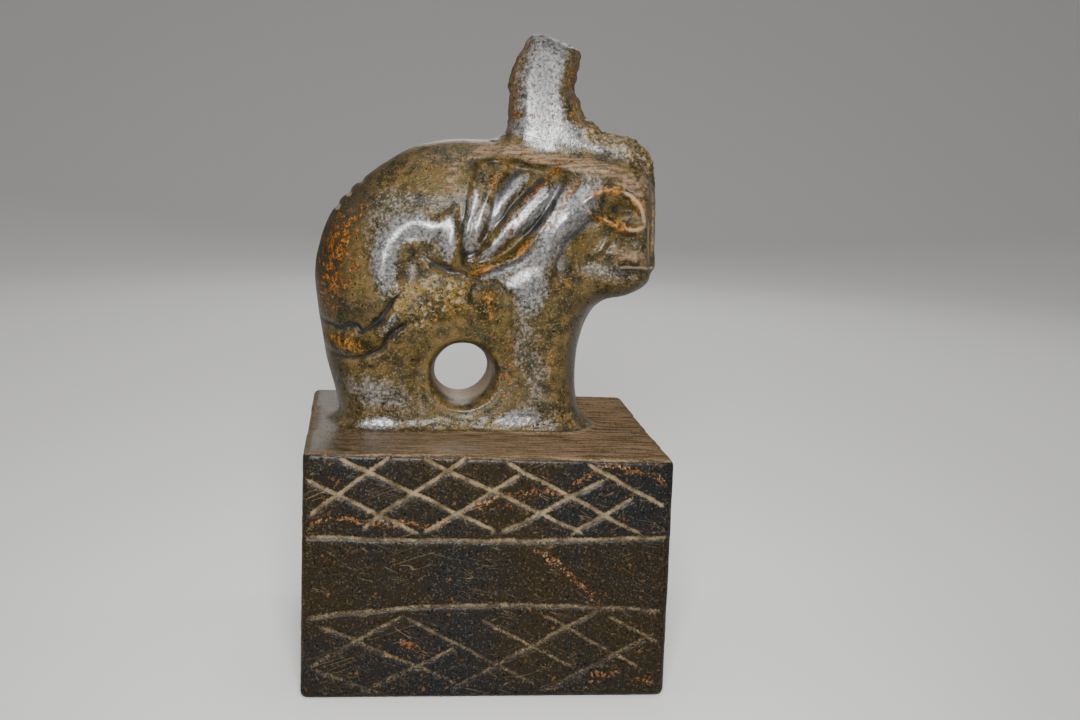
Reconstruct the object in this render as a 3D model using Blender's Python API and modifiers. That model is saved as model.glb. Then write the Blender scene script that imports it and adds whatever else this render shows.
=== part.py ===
"""An elephant standing on a tall block, both carved from one stone.

Blender 4.5 script, metres, +Z up. The origin is at the middle of the block's underside.
The elephant faces +X. Its form is given in side view, in hundredths of its own height.
"""
import math

import bmesh
import bpy
import numpy as np

# Block: length along X, depth along Y, and its rounded edges
BLOCK_LENGTH = 0.0885
BLOCK_DEPTH = 0.0825
BLOCK_HEIGHT = 0.0600
BLOCK_EDGE_ROUND = 0.0014
BLOCK_TOP_FALL = 0.0011

# Lines cut into the block: two level lines, and slanting strokes above and below them
LINE_WIDTH = 0.0015
LINE_DEPTH = 0.0005
UPPER_BAND_HEIGHT = 0.0200
LOWER_BAND_HEIGHT = 0.0224
BAND_MARGIN = 0.0009
FRONT_LEAN = math.radians(29.0)
PLAIN_LEAN = math.radians(29.0)
PLAIN_STROKE_SPACING = 0.0220

# Elephant: its height above the block and the hole bored through under its belly
FIGURE_HEIGHT = 0.1000
HOLE_RADIUS = 0.0070
HOLE_RIM_ROUND = 0.0018
FOOT_FLARE = 0.0015
FOOT_FLARE_HEIGHT = 0.0036
SUNK_INTO_BLOCK = 0.0040

# Fineness of the model
CARVING_CELL = 0.0008
FIGURE_TRIANGLES = 6200
CURVE_STEPS = 6

PERCENT = FIGURE_HEIGHT / 100.0
SUNK = -SUNK_INTO_BLOCK / PERCENT

# Where the strokes of the front cross the middle of their band, in shares of the block's length
UPPER_RISING = (-0.41, -0.22, -0.02, 0.215, 0.39)
UPPER_FALLING = (-0.395, -0.18, 0.04, 0.22, 0.43)
LOWER_RISING = (-0.415, -0.125, 0.08, 0.355)
LOWER_FALLING = (-0.54, -0.26, -0.02, 0.17, 0.355)

# Side outline of the body and head, from the hind foot over the back to the forefoot
BODY_OUTLINE = (
    (-38.5, SUNK), (-36.4, 2.0), (-37.4, 8.0), (-40.2, 18.0), (-42.2, 30.0), (-43.2, 41.0),
    (-39.4, 53.5), (-31.0, 63.2), (-19.5, 70.6), (-8.0, 73.0), (5.0, 73.0), (20.0, 72.4),
    (33.0, 71.4), (40.5, 68.2), (42.4, 62.0), (42.6, 50.0), (43.2, 42.0), (42.2, 37.4),
    (37.0, 34.3), (30.5, 32.6), (26.6, 27.6), (24.8, 20.0), (24.7, 10.0), (26.2, 3.0), (28.8, SUNK),
)

# Side outline of the trunk: up the face, back over the brow and up as a stub
TRUNK_OUTLINE = (
    (36.0, 40.8), (43.6, 40.8), (43.9, 48.0), (43.6, 58.0), (43.0, 67.0), (39.9, 72.8),
    (35.6, 75.4), (30.2, 76.1), (27.4, 78.0), (24.7, 79.2), (23.2, 83.2), (21.8, 86.4),
    (22.7, 91.2), (23.2, 94.8), (21.2, 97.4), (15.5, 99.6), (11.6, 99.8), (8.6, 96.8),
    (6.6, 92.0), (4.9, 87.4), (5.4, 80.0), (4.6, 75.0), (1.0, 72.4), (1.0, 68.0),
    (20.0, 66.0), (34.0, 62.0), (37.0, 52.0),
)

HOLE_CENTRE = (-5.2, 14.6)

# Half-width and edge rounding of the body at named places: x, z, half-width, rounding
BODY_PLACES = {
    "hind foot": (-27.0, 1.0, 13.6, 5.0),
    "hind leg": (-27.0, 12.0, 13.2, 8.0),
    "haunch": (-27.0, 35.0, 17.6, 14.0),
    "rump": (-34.0, 48.0, 16.0, 15.0),
    "back": (-14.0, 62.0, 16.0, 18.0),
    "flank": (-14.0, 46.0, 17.0, 16.0),
    "belly": (-8.0, 33.0, 14.8, 8.0),
    "under the hole": (-5.0, 2.0, 13.2, 5.0),
    "beside the hole": (-5.0, 16.0, 12.6, 6.0),
    "forefoot": (17.0, 1.0, 13.4, 5.0),
    "foreleg": (14.0, 13.0, 12.8, 7.0),
    "chest": (8.0, 34.0, 15.4, 8.0),
    "shoulder": (2.0, 56.0, 16.0, 9.0),
    "crown": (10.0, 70.0, 13.6, 6.5),
    "cheek": (16.0, 52.0, 15.6, 5.0),
    "brow": (36.0, 66.0, 12.0, 5.0),
    "eye": (33.0, 57.0, 13.2, 2.0),
    "muzzle": (34.0, 45.0, 12.4, 2.5),
    "jaw": (33.0, 37.0, 11.6, 6.0),
}
TRUNK_PLACES = {
    "stub": (14.0, 90.0, 7.6, 3.0),
    "head top": (15.0, 73.0, 8.6, 3.5),
    "face": (40.0, 55.0, 7.6, 1.5),
}
PLACE_REACH = 8.0

# Sunk ear panel on each side of the head, and how far its floor lies in
EAR_PANEL = (
    (-4.6, 65.0), (-2.2, 68.0), (2.0, 69.2), (11.0, 67.6), (20.4, 66.2), (18.0, 60.5),
    (13.6, 54.0), (9.6, 47.0), (3.0, 42.8), (-4.0, 41.0), (-7.0, 46.0), (-6.2, 56.0),
)
EAR_PANEL_DEPTH = 2.8
EAR_PANEL_WALL = 2.2

# Strokes of the carving in side view: how far in (minus: raised), half-width, and the line
CARVED_STROKES = (
    ("ear flute", -1.6, 1.7, ((-1.6, 64.6), (-4.0, 59.0), (-5.2, 50.5))),
    ("ear flute", -1.9, 1.9, ((5.6, 66.4), (0.2, 61.0), (-2.4, 54.0), (-4.4, 47.6))),
    ("ear flute", -1.6, 1.7, ((12.0, 65.8), (4.6, 60.0), (1.2, 54.6), (-0.4, 50.6))),
    ("ear flute", -2.2, 2.2, ((17.6, 64.6), (9.6, 59.0), (4.4, 52.0), (-1.4, 44.6))),
    ("lower ear edge", -1.4, 1.8, ((12.4, 52.0), (8.4, 46.8), (2.0, 43.2), (-5.0, 41.2))),
    ("cheek", -1.3, 4.0, ((23.0, 61.0), (18.0, 54.0), (13.4, 46.4), (6.0, 40.6))),
    ("eye rim", -1.3, 1.3, ((24.4, 57.4), (27.6, 60.8), (32.4, 62.0), (36.8, 59.8), (39.6, 55.0),
                            (36.8, 52.6), (31.2, 53.8), (24.4, 57.4))),
    ("eyeball", -0.7, 3.4, ((31.0, 57.4), (34.4, 56.4))),
    ("under the eye", 1.6, 3.4, ((27.5, 51.6), (23.5, 49.6), (20.6, 45.0), (19.8, 37.0))),
    ("under the eye", 1.0, 2.6, ((28.0, 50.6), (34.0, 49.8), (41.0, 49.6))),
    ("mouth", 0.9, 1.3, ((30.4, 43.4), (36.0, 42.4), (43.0, 41.6))),
    ("tail groove", 1.4, 1.5, ((-43.0, 26.2), (-36.0, 26.4), (-29.6, 27.0), (-25.0, 30.8),
                               (-20.4, 36.6))),
    ("tail groove", 1.2, 1.4, ((-42.0, 18.4), (-33.0, 18.2), (-27.8, 19.8), (-24.0, 23.8),
                               (-19.4, 28.2))),
    ("flank hollow", 1.3, 7.0, ((-18.2, 42.0), (-14.2, 45.6))),
    ("flank groove", 1.1, 1.5, ((-15.0, 44.0), (-10.4, 41.0), (-5.4, 40.2))),
    ("elbow", -1.4, 4.2, ((0.6, 34.6), (1.2, 29.0))),
    ("elbow groove", 1.2, 1.5, ((-3.9, 31.0), (-3.4, 36.6), (-0.2, 38.9), (3.0, 37.8))),
    ("leg groove", 0.7, 2.2, ((5.4, 33.0), (6.0, 26.0), (6.2, 19.0))),
)

STONE_COLOR = (0.085, 0.07, 0.05, 1.0)
STONE_ROUGHNESS = 0.38


def clear_scene():
    """Remove every object that the new file starts with."""
    for old in list(bpy.data.objects):
        bpy.data.objects.remove(old, do_unlink=True)


def new_collection(name):
    """A collection in the scene."""
    collection = bpy.data.collections.new(name)
    bpy.context.scene.collection.children.link(collection)
    return collection


def add_object(name, mesh, collection):
    """An object for a mesh or curve."""
    added = bpy.data.objects.new(name, mesh)
    collection.objects.link(added)
    return added


def stone_material():
    """Dark polished stone."""
    material = bpy.data.materials.new("dark stone")
    material.use_nodes = True
    shader = material.node_tree.nodes["Principled BSDF"]
    shader.inputs["Base Color"].default_value = STONE_COLOR
    shader.inputs["Roughness"].default_value = STONE_ROUGHNESS
    shader.inputs["Metallic"].default_value = 0.0
    return material


def smooth_line(points, closed):
    """Points along a Catmull-Rom curve through the given ones."""
    knots = np.array(points, dtype=float)
    if closed:
        knots = np.vstack((knots[-1], knots, knots[:2]))
    else:
        knots = np.vstack((2 * knots[0] - knots[1], knots, 2 * knots[-1] - knots[-2]))
    shares = np.linspace(0.0, 1.0, CURVE_STEPS, endpoint=False)[:, None]
    line = []
    for before, start, end, after in zip(knots, knots[1:], knots[2:], knots[3:]):
        bend = 2 * before - 5 * start + 4 * end - after
        twist = 3 * start - before - 3 * end + after
        line.append(start + 0.5 * shares * ((end - before) + shares * (bend + shares * twist)))
    if not closed:
        line.append(knots[-2][None])
    return np.vstack(line)


def ring(centre, radius):
    """Points round a circle, in hundredths of the figure's height."""
    turns = np.linspace(0.0, 2.0 * math.pi, 8 * CURVE_STEPS, endpoint=False)
    return np.array(centre) + radius * np.column_stack((np.cos(turns), np.sin(turns)))


def distance_to_line(places, line):
    """Shortest distance in side view from each place to a line of points."""
    nearest = np.full(len(places), np.inf)
    for start, end in zip(line[:-1], line[1:]):
        run = end - start
        share = np.clip((places - start) @ run / max(run @ run, 1e-12), 0.0, 1.0)
        gap = np.hypot(*(places - start - share[:, None] * run).T)
        nearest = np.minimum(nearest, gap)
    return nearest


def inside(places, outline):
    """True for each place within a closed outline in side view."""
    within = np.zeros(len(places), dtype=bool)
    for (x0, z0), (x1, z1) in zip(outline, np.roll(outline, -1, axis=0)):
        spans = (z0 > places[:, 1]) != (z1 > places[:, 1])
        rise = z1 - z0 if z1 != z0 else 1.0
        crossing = x0 + (places[:, 1] - z0) * (x1 - x0) / rise
        within ^= spans & (places[:, 0] < crossing)
    return within


def blended(places, named_places):
    """Half-width and edge rounding at each place, blended from the named ones around it."""
    table = np.array(list(named_places.values()))
    apart = np.hypot(places[:, :1] - table[:, 0], places[:, 1:] - table[:, 1])
    nearest = apart.min(axis=1, keepdims=True)
    weight = np.exp((nearest ** 2 - apart ** 2) / (2.0 * PLACE_REACH ** 2))
    weight /= weight.sum(axis=1, keepdims=True)
    return weight @ table[:, 2], weight @ table[:, 3]


def vertex_places(mesh):
    """Vertex coordinates in hundredths of the figure's height, measured from the block's top."""
    places = np.empty(3 * len(mesh.vertices), dtype=np.float32)
    mesh.vertices.foreach_get("co", places)
    places = places.reshape(-1, 3).astype(float)
    places[:, 2] -= BLOCK_HEIGHT
    return places / PERCENT


def set_vertex_places(mesh, places):
    """Put the vertices back in metres."""
    metres = places * PERCENT
    metres[:, 2] += BLOCK_HEIGHT
    mesh.vertices.foreach_set("co", metres.ravel())
    mesh.update()


def vertex_normals(mesh):
    """Vertex normals as an array."""
    normals = np.empty(3 * len(mesh.vertices), dtype=np.float32)
    mesh.vertices.foreach_get("normal", normals)
    return normals.reshape(-1, 3)


def with_modifiers(source, name, collection):
    """The object as a plain mesh, its modifiers and transform carried out; the source goes."""
    evaluated = source.evaluated_get(bpy.context.evaluated_depsgraph_get())
    mesh = bpy.data.meshes.new_from_object(evaluated)
    mesh.transform(source.matrix_world)
    bpy.data.objects.remove(source, do_unlink=True)
    work = bmesh.new()
    work.from_mesh(mesh)
    bmesh.ops.remove_doubles(work, verts=work.verts, dist=0.000001)
    work.to_mesh(mesh)
    work.free()
    return add_object(name, mesh, collection)


def remeshed(source, collection):
    """The object as one even skin of small cells."""
    skin = source.modifiers.new("skin", "REMESH")
    skin.mode = "VOXEL"
    skin.voxel_size = CARVING_CELL
    bpy.context.view_layer.update()
    return with_modifiers(source, source.name, collection)


def rounded_slab(name, outlines, named_places, rim_round, collection):
    """A slab cut to its side outlines, taken in to its widths and rounded at the edges."""
    widest = max(place[2] for place in named_places.values())
    curve = bpy.data.curves.new(name, "CURVE")
    curve.dimensions = "2D"
    curve.fill_mode = "BOTH"
    curve.extrude = widest * PERCENT
    for outline in outlines:
        spline = curve.splines.new("POLY")
        spline.points.add(len(outline) - 1)
        spline.use_cyclic_u = True
        for point, (x, z) in zip(spline.points, outline):
            point.co = (x * PERCENT, BLOCK_HEIGHT + z * PERCENT, 0.0, 1.0)
    flat = add_object(name, curve, collection)
    flat.rotation_euler.x = math.radians(90.0)
    bpy.context.view_layer.update()
    slab = remeshed(with_modifiers(flat, name, collection), collection)

    places = vertex_places(slab.data)
    side_view = places[:, (0, 2)]
    half_width, rounding = blended(side_view, named_places)
    fullness = np.ones(len(places))
    for number, outline in enumerate(outlines):
        from_edge = distance_to_line(side_view, np.vstack((outline, outline[:1])))
        reach = rounding if number == 0 else rim_round
        share = np.clip(from_edge / reach, 0.0, 1.0)
        fullness = np.minimum(fullness, np.sqrt(1.0 - (1.0 - share) ** 2))
    places[:, 1] *= fullness * half_width / widest
    set_vertex_places(slab.data, places)
    return slab


def joined(pieces, name, collection):
    """Several overlapping pieces as one skin."""
    work = bmesh.new()
    for piece in pieces:
        work.from_mesh(piece.data)
        bpy.data.objects.remove(piece, do_unlink=True)
    mesh = bpy.data.meshes.new(name)
    work.to_mesh(mesh)
    work.free()
    return remeshed(add_object(name, mesh, collection), collection)


def relax(piece, times, collection):
    """Smooth away the steps between cells."""
    smooth = piece.modifiers.new("smooth", "SMOOTH")
    smooth.factor = 0.5
    smooth.iterations = times
    bpy.context.view_layer.update()
    return with_modifiers(piece, piece.name, collection)


def carve(piece):
    """Sink the ear panels and cut or raise every stroke, alike on both flanks."""
    places = vertex_places(piece.data)
    side_view = places[:, (0, 2)]
    facing = vertex_normals(piece.data)[:, 1]
    panel = smooth_line(EAR_PANEL, closed=True)
    from_edge = distance_to_line(side_view, np.vstack((panel, panel[:1])))
    inward = EAR_PANEL_DEPTH * np.clip(from_edge / EAR_PANEL_WALL, 0.0, 1.0)
    inward *= inside(side_view, panel)
    for _, depth, half_width, points in CARVED_STROKES:
        away = distance_to_line(side_view, smooth_line(points, closed=False)) / half_width
        inward += depth * (0.5 + 0.5 * np.cos(math.pi * np.minimum(away, 1.0)))
    places[:, 1] -= facing * inward
    low = np.clip(1.0 - places[:, 2] * PERCENT / FOOT_FLARE_HEIGHT, 0.0, 1.0)
    places[:, 1] += facing * low ** 2 * FOOT_FLARE / PERCENT
    set_vertex_places(piece.data, places)


def build_elephant(collection):
    """The elephant down into the block, as one closed form."""
    bore = ring(HOLE_CENTRE, HOLE_RADIUS / PERCENT)
    body_lines = [smooth_line(BODY_OUTLINE, closed=True), bore]
    body = rounded_slab("body", body_lines, BODY_PLACES, HOLE_RIM_ROUND / PERCENT, collection)
    trunk_lines = [smooth_line(TRUNK_OUTLINE, closed=True)]
    trunk = rounded_slab("trunk", trunk_lines, TRUNK_PLACES, 0.0, collection)
    form = relax(joined([body, trunk], "elephant", collection), 5, collection)
    carve(form)
    form = relax(form, 2, collection)
    lighter = form.modifiers.new("lighter", "DECIMATE")
    lighter.ratio = FIGURE_TRIANGLES / sum(len(face.vertices) - 2 for face in form.data.polygons)
    bpy.context.view_layer.update()
    return with_modifiers(form, "elephant", collection)


def build_block(collection):
    """The block, its top falling a little towards the elephant's front."""
    mesh = bpy.data.meshes.new("elephant_on_block")
    work = bmesh.new()
    bmesh.ops.create_cube(work, size=1.0)
    for corner in work.verts:
        corner.co.x *= BLOCK_LENGTH
        corner.co.y *= BLOCK_DEPTH
        top = corner.co.z > 0.0
        corner.co.z = BLOCK_HEIGHT - BLOCK_TOP_FALL * corner.co.x / BLOCK_LENGTH if top else 0.0
    work.to_mesh(mesh)
    work.free()
    block = add_object("elephant_on_block", mesh, collection)
    rounded = block.modifiers.new("rounded edges", "BEVEL")
    rounded.width = BLOCK_EDGE_ROUND
    rounded.segments = 3
    return block


def groove_cutter(start, end, turn, cutters):
    """A long four-sided cutter for one line on the side of the block that the turn brings forward."""
    faces_y = abs(math.sin(turn)) < 0.5
    out = (BLOCK_DEPTH if faces_y else BLOCK_LENGTH) / 2.0
    run_x = end[0] - start[0]
    run_z = end[1] - start[1]
    mesh = bpy.data.meshes.new("line cutter")
    work = bmesh.new()
    bmesh.ops.create_cone(work, segments=4, radius1=1.0, radius2=1.0, depth=math.hypot(run_x, run_z),
                          cap_ends=True)
    for corner in work.verts:
        corner.co.x *= LINE_WIDTH / 2.0
        corner.co.y *= LINE_DEPTH
    work.to_mesh(mesh)
    work.free()
    cutter = add_object("line cutter", mesh, cutters)
    lean = math.atan2(run_x, run_z)
    cutter.rotation_mode = "XYZ"
    cutter.rotation_euler = (0.0, lean, turn)
    middle_x = (start[0] + end[0]) / 2.0
    cutter.location = (
        middle_x * math.cos(turn) + out * math.sin(turn),
        middle_x * math.sin(turn) - out * math.cos(turn),
        (start[1] + end[1]) / 2.0,
    )
    cutter.hide_render = True
    cutter.display_type = "WIRE"


def band_strokes(crossings, lean, low, high, half_length):
    """Slanting strokes across a band, kept on the face: crossing places, slope, band heights."""
    strokes = []
    middle = (low + high) / 2.0
    for crossing in crossings:
        ends = []
        for height in (low, high):
            x = crossing + (height - middle) / math.tan(lean)
            x = min(max(x, -half_length), half_length)
            ends.append((x, middle + (x - crossing) * math.tan(lean)))
        strokes.append(ends)
    return strokes


def block_lines(cutters):
    """Cutters for the level lines and the lattices on the four sides of the block."""
    upper_line = BLOCK_HEIGHT - UPPER_BAND_HEIGHT
    upper = (upper_line + BAND_MARGIN, BLOCK_HEIGHT - BAND_MARGIN)
    lower = (BAND_MARGIN, LOWER_BAND_HEIGHT - BAND_MARGIN)
    for side in range(4):
        turn = side * math.pi / 2.0
        length = BLOCK_DEPTH if side % 2 else BLOCK_LENGTH
        for height in (upper_line, LOWER_BAND_HEIGHT):
            groove_cutter((-length / 2.0, height), (length / 2.0, height), turn, cutters)
        half = length / 2.0 - BLOCK_EDGE_ROUND
        if side == 0:
            bands = (
                (UPPER_RISING, FRONT_LEAN, upper), (UPPER_FALLING, -FRONT_LEAN, upper),
                (LOWER_RISING, FRONT_LEAN, lower), (LOWER_FALLING, -FRONT_LEAN, lower),
            )
            bands = [([share * length for share in row], lean, band) for row, lean, band in bands]
        else:
            count = max(1, round(length / PLAIN_STROKE_SPACING))
            spaced = [(number - (count - 1) / 2.0) * length / count for number in range(count)]
            bands = [(spaced, lean, band) for lean in (PLAIN_LEAN, -PLAIN_LEAN) for band in (upper, lower)]
        for crossings, lean, (low, high) in bands:
            for start, end in band_strokes(crossings, lean, low, high, half):
                groove_cutter(start, end, turn, cutters)


def build():
    """The whole carving as one solid."""
    clear_scene()
    parts = new_collection("elephant_on_block")
    cutters = new_collection("cutters")
    carving = build_block(parts)
    elephant = build_elephant(cutters)
    elephant.hide_render = True
    elephant.display_type = "WIRE"
    one_stone = carving.modifiers.new("one stone", "BOOLEAN")
    one_stone.operation = "UNION"
    one_stone.object = elephant
    lines = bpy.data.collections.new("block lines")
    cutters.children.link(lines)
    block_lines(lines)
    incised = carving.modifiers.new("incised lines", "BOOLEAN")
    incised.operation = "DIFFERENCE"
    incised.operand_type = "COLLECTION"
    incised.collection = lines
    carving.data.materials.append(stone_material())


build()
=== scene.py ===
"""Looks of the stone elephant on its block: one carved and polished stone, in metres, +Z up.

The elephant's form is given in side view as (x, z), in hundredths of its own height, measured from
the middle of the block's top. The lines on the block are given in millimetres on each face.
"""
import math

import bmesh
import bpy
import numpy as np
from mathutils import Matrix, Vector, noise


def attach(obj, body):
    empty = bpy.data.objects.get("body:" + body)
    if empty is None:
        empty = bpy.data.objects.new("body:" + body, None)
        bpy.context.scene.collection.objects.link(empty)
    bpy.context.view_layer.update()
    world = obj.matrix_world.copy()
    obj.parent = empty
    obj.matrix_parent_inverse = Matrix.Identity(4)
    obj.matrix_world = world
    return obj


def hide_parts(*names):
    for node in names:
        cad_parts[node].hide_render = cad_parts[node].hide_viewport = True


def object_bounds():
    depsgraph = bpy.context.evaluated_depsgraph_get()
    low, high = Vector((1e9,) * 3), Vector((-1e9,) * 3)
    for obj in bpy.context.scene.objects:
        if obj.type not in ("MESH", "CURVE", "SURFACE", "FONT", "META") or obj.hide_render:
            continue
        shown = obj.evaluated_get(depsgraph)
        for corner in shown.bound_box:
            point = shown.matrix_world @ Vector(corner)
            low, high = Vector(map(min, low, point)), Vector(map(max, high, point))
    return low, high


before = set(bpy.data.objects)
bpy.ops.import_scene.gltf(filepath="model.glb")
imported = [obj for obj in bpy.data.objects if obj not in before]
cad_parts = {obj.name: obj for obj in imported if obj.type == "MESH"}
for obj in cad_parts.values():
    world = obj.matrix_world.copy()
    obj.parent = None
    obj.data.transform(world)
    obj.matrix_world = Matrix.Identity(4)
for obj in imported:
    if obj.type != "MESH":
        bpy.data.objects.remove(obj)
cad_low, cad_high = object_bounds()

MM = 0.001

# Block, and the elephant's height above it
BLOCK_LENGTH = cad_high.x - cad_low.x
BLOCK_DEPTH = cad_high.y - cad_low.y
BLOCK_HEIGHT = 60.0 * MM
BLOCK_EDGE_ROUND = 1.5 * MM
BLOCK_EDGE_SEGMENTS = 4
BLOCK_TOP_FALL = 1.1 * MM
PERCENT = (cad_high.z - BLOCK_HEIGHT) / 100.0
SUNK = -4.0

# Fineness of the carved skin
CELL = 0.42 * MM
CURVE_STEPS = 8
RING_STEPS = 64
TINY = 1e-12
WELD_DISTANCE = 0.001 * MM
TRIANGLES = 192000

# Side outline of the body and head, from the hind foot over the back to the forefoot
BODY_OUTLINE = (
    (-38.5, SUNK), (-36.4, 2.0), (-37.4, 8.0), (-40.2, 18.0), (-42.2, 30.0), (-43.0, 41.0),
    (-39.2, 53.5), (-30.8, 63.0), (-19.5, 70.4), (-8.0, 73.0), (5.0, 73.0), (20.0, 72.4),
    (33.0, 71.4), (40.5, 68.2), (42.4, 62.0), (42.6, 50.0), (43.2, 42.0), (42.2, 37.4),
    (37.0, 34.3), (30.5, 32.6), (26.6, 27.6), (24.8, 20.0), (24.7, 10.0), (26.2, 3.0), (28.8, SUNK),
)

# Side outline of the trunk: up the face, back over the brow and up as a stub
TRUNK_OUTLINE = (
    (36.0, 40.8), (43.6, 40.8), (43.9, 48.0), (43.6, 58.0), (42.9, 66.5), (40.8, 71.2),
    (38.2, 74.0), (34.2, 75.3), (30.2, 76.1), (28.8, 76.5), (26.2, 78.7), (24.7, 79.4),
    (23.2, 83.5), (21.7, 86.4), (22.5, 90.0), (23.2, 93.8), (23.0, 95.4), (21.8, 96.9),
    (17.6, 98.5), (13.4, 99.9), (11.5, 99.8), (9.8, 99.2), (8.6, 96.5), (6.6, 93.2),
    (5.6, 89.9), (4.9, 86.6), (5.6, 84.8), (5.2, 81.5), (5.3, 77.7), (4.3, 74.6), (1.0, 72.6),
    (1.0, 68.0), (20.0, 66.0), (34.0, 62.0), (37.0, 52.0),
)

# How many of the trunk outline's last points lie within the head
TRUNK_SUNK = 3

# Hole bored across under the belly, and how the feet spread at the block
HOLE_CENTRE = (-5.2, 14.6)
HOLE_RADIUS = 7.0
HOLE_RIM_ROUND = 2.4
FOOT_FLARE = 1.2
FOOT_FLARE_HEIGHT = 2.8
FOOT_WAVE = (6.0, 2.2, 3)

# Half-width and edge rounding of the body at named places: x, z, half-width, rounding
BODY_PLACES = {
    "hind foot": (-27.0, 1.0, 13.6, 6.0),
    "hind leg": (-27.0, 12.0, 13.4, 10.0),
    "haunch": (-27.0, 33.0, 17.4, 20.0),
    "rump": (-33.0, 46.0, 17.6, 26.0),
    "back": (-17.0, 58.0, 18.2, 30.0),
    "flank": (-14.0, 44.0, 17.8, 30.0),
    "belly": (-8.0, 33.0, 15.4, 12.0),
    "under the hole": (-5.0, 2.0, 13.2, 5.0),
    "beside the hole": (-5.0, 16.0, 12.8, 6.0),
    "forefoot": (17.0, 1.0, 13.4, 6.0),
    "foreleg": (14.0, 13.0, 13.0, 8.5),
    "chest": (8.0, 34.0, 15.4, 9.0),
    "shoulder": (2.0, 56.0, 17.4, 24.0),
    "crown": (10.0, 70.0, 14.4, 13.0),
    "cheek": (16.0, 52.0, 16.4, 18.0),
    "brow": (36.0, 66.0, 12.4, 6.0),
    "eye": (33.0, 57.0, 13.4, 3.0),
    "muzzle": (34.0, 45.0, 12.6, 3.0),
    "jaw": (33.0, 37.0, 12.0, 7.5),
}
TRUNK_PLACES = {
    "stub end": (15.0, 97.0, 5.8, 4.5),
    "stub back": (8.0, 85.0, 7.7, 4.0),
    "stub front": (20.0, 85.0, 6.9, 6.0),
    "head top": (15.0, 74.0, 9.9, 4.5),
    "brow": (34.0, 71.0, 8.4, 4.0),
    "face": (40.0, 55.0, 7.6, 1.5),
}
PLACE_REACH = 8.0

# Sunk ear panel on each side of the head
EAR_PANEL = (
    (-4.2, 66.0), (-2.4, 68.3), (2.4, 69.6), (8.5, 68.0), (19.6, 66.5), (17.6, 60.9),
    (12.9, 52.5), (7.8, 45.9), (0.0, 42.4), (-5.8, 41.6), (-6.9, 46.0), (-6.5, 55.0),
)
EAR_PANEL_DEPTH = 2.7
EAR_PANEL_WALL = 1.4

# Rims of the eye
EYE_RIM_ABOVE = ((23.6, 58.8), (25.4, 60.4), (28.0, 61.6), (30.7, 62.0), (33.4, 61.4), (36.2, 59.8),
                 (38.5, 57.2), (39.6, 54.4))
EYE_RIM_BELOW = ((23.4, 57.4), (27.5, 55.2), (30.7, 53.6), (33.4, 52.7), (36.6, 52.1), (39.6, 53.4))

# Strokes of the carving in side view: how far in (minus: raised), half-width, and the line
FLUTES = {
    "first flute": (-1.5, 1.7, ((-1.2, 65.6), (-2.9, 62.1), (-4.1, 58.7), (-5.1, 54.9), (-5.6, 48.0))),
    "second flute": (-2.2, 2.4, ((4.8, 68.4), (0.6, 62.4), (-1.4, 57.3), (-2.9, 52.0), (-4.4, 46.2))),
    "third flute": (-1.6, 2.3, ((10.4, 65.6), (6.6, 62.4), (3.4, 58.8), (1.3, 55.0), (0.2, 51.4))),
    "fourth flute": (-2.5, 2.8, ((18.0, 65.8), (14.2, 62.3), (10.3, 58.4), (6.6, 54.3), (3.6, 50.5),
                                 (0.4, 46.6), (-2.8, 43.4))),
    "fifth flute": (-1.3, 1.7, ((17.4, 62.6), (13.2, 57.8), (8.6, 53.0), (5.6, 50.2))),
    "lower ear edge": (-1.4, 1.5, ((12.2, 51.0), (8.7, 47.1), (4.8, 44.3), (0.0, 42.2), (-5.4, 40.6))),
}
VALLEYS = {
    "below the eye": (1.9, 4.4, ((28.6, 54.4), (25.7, 54.2), (22.9, 52.1), (20.1, 49.4), (18.5, 46.5),
                                 (17.4, 43.0), (17.7, 39.6))),
}
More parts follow.
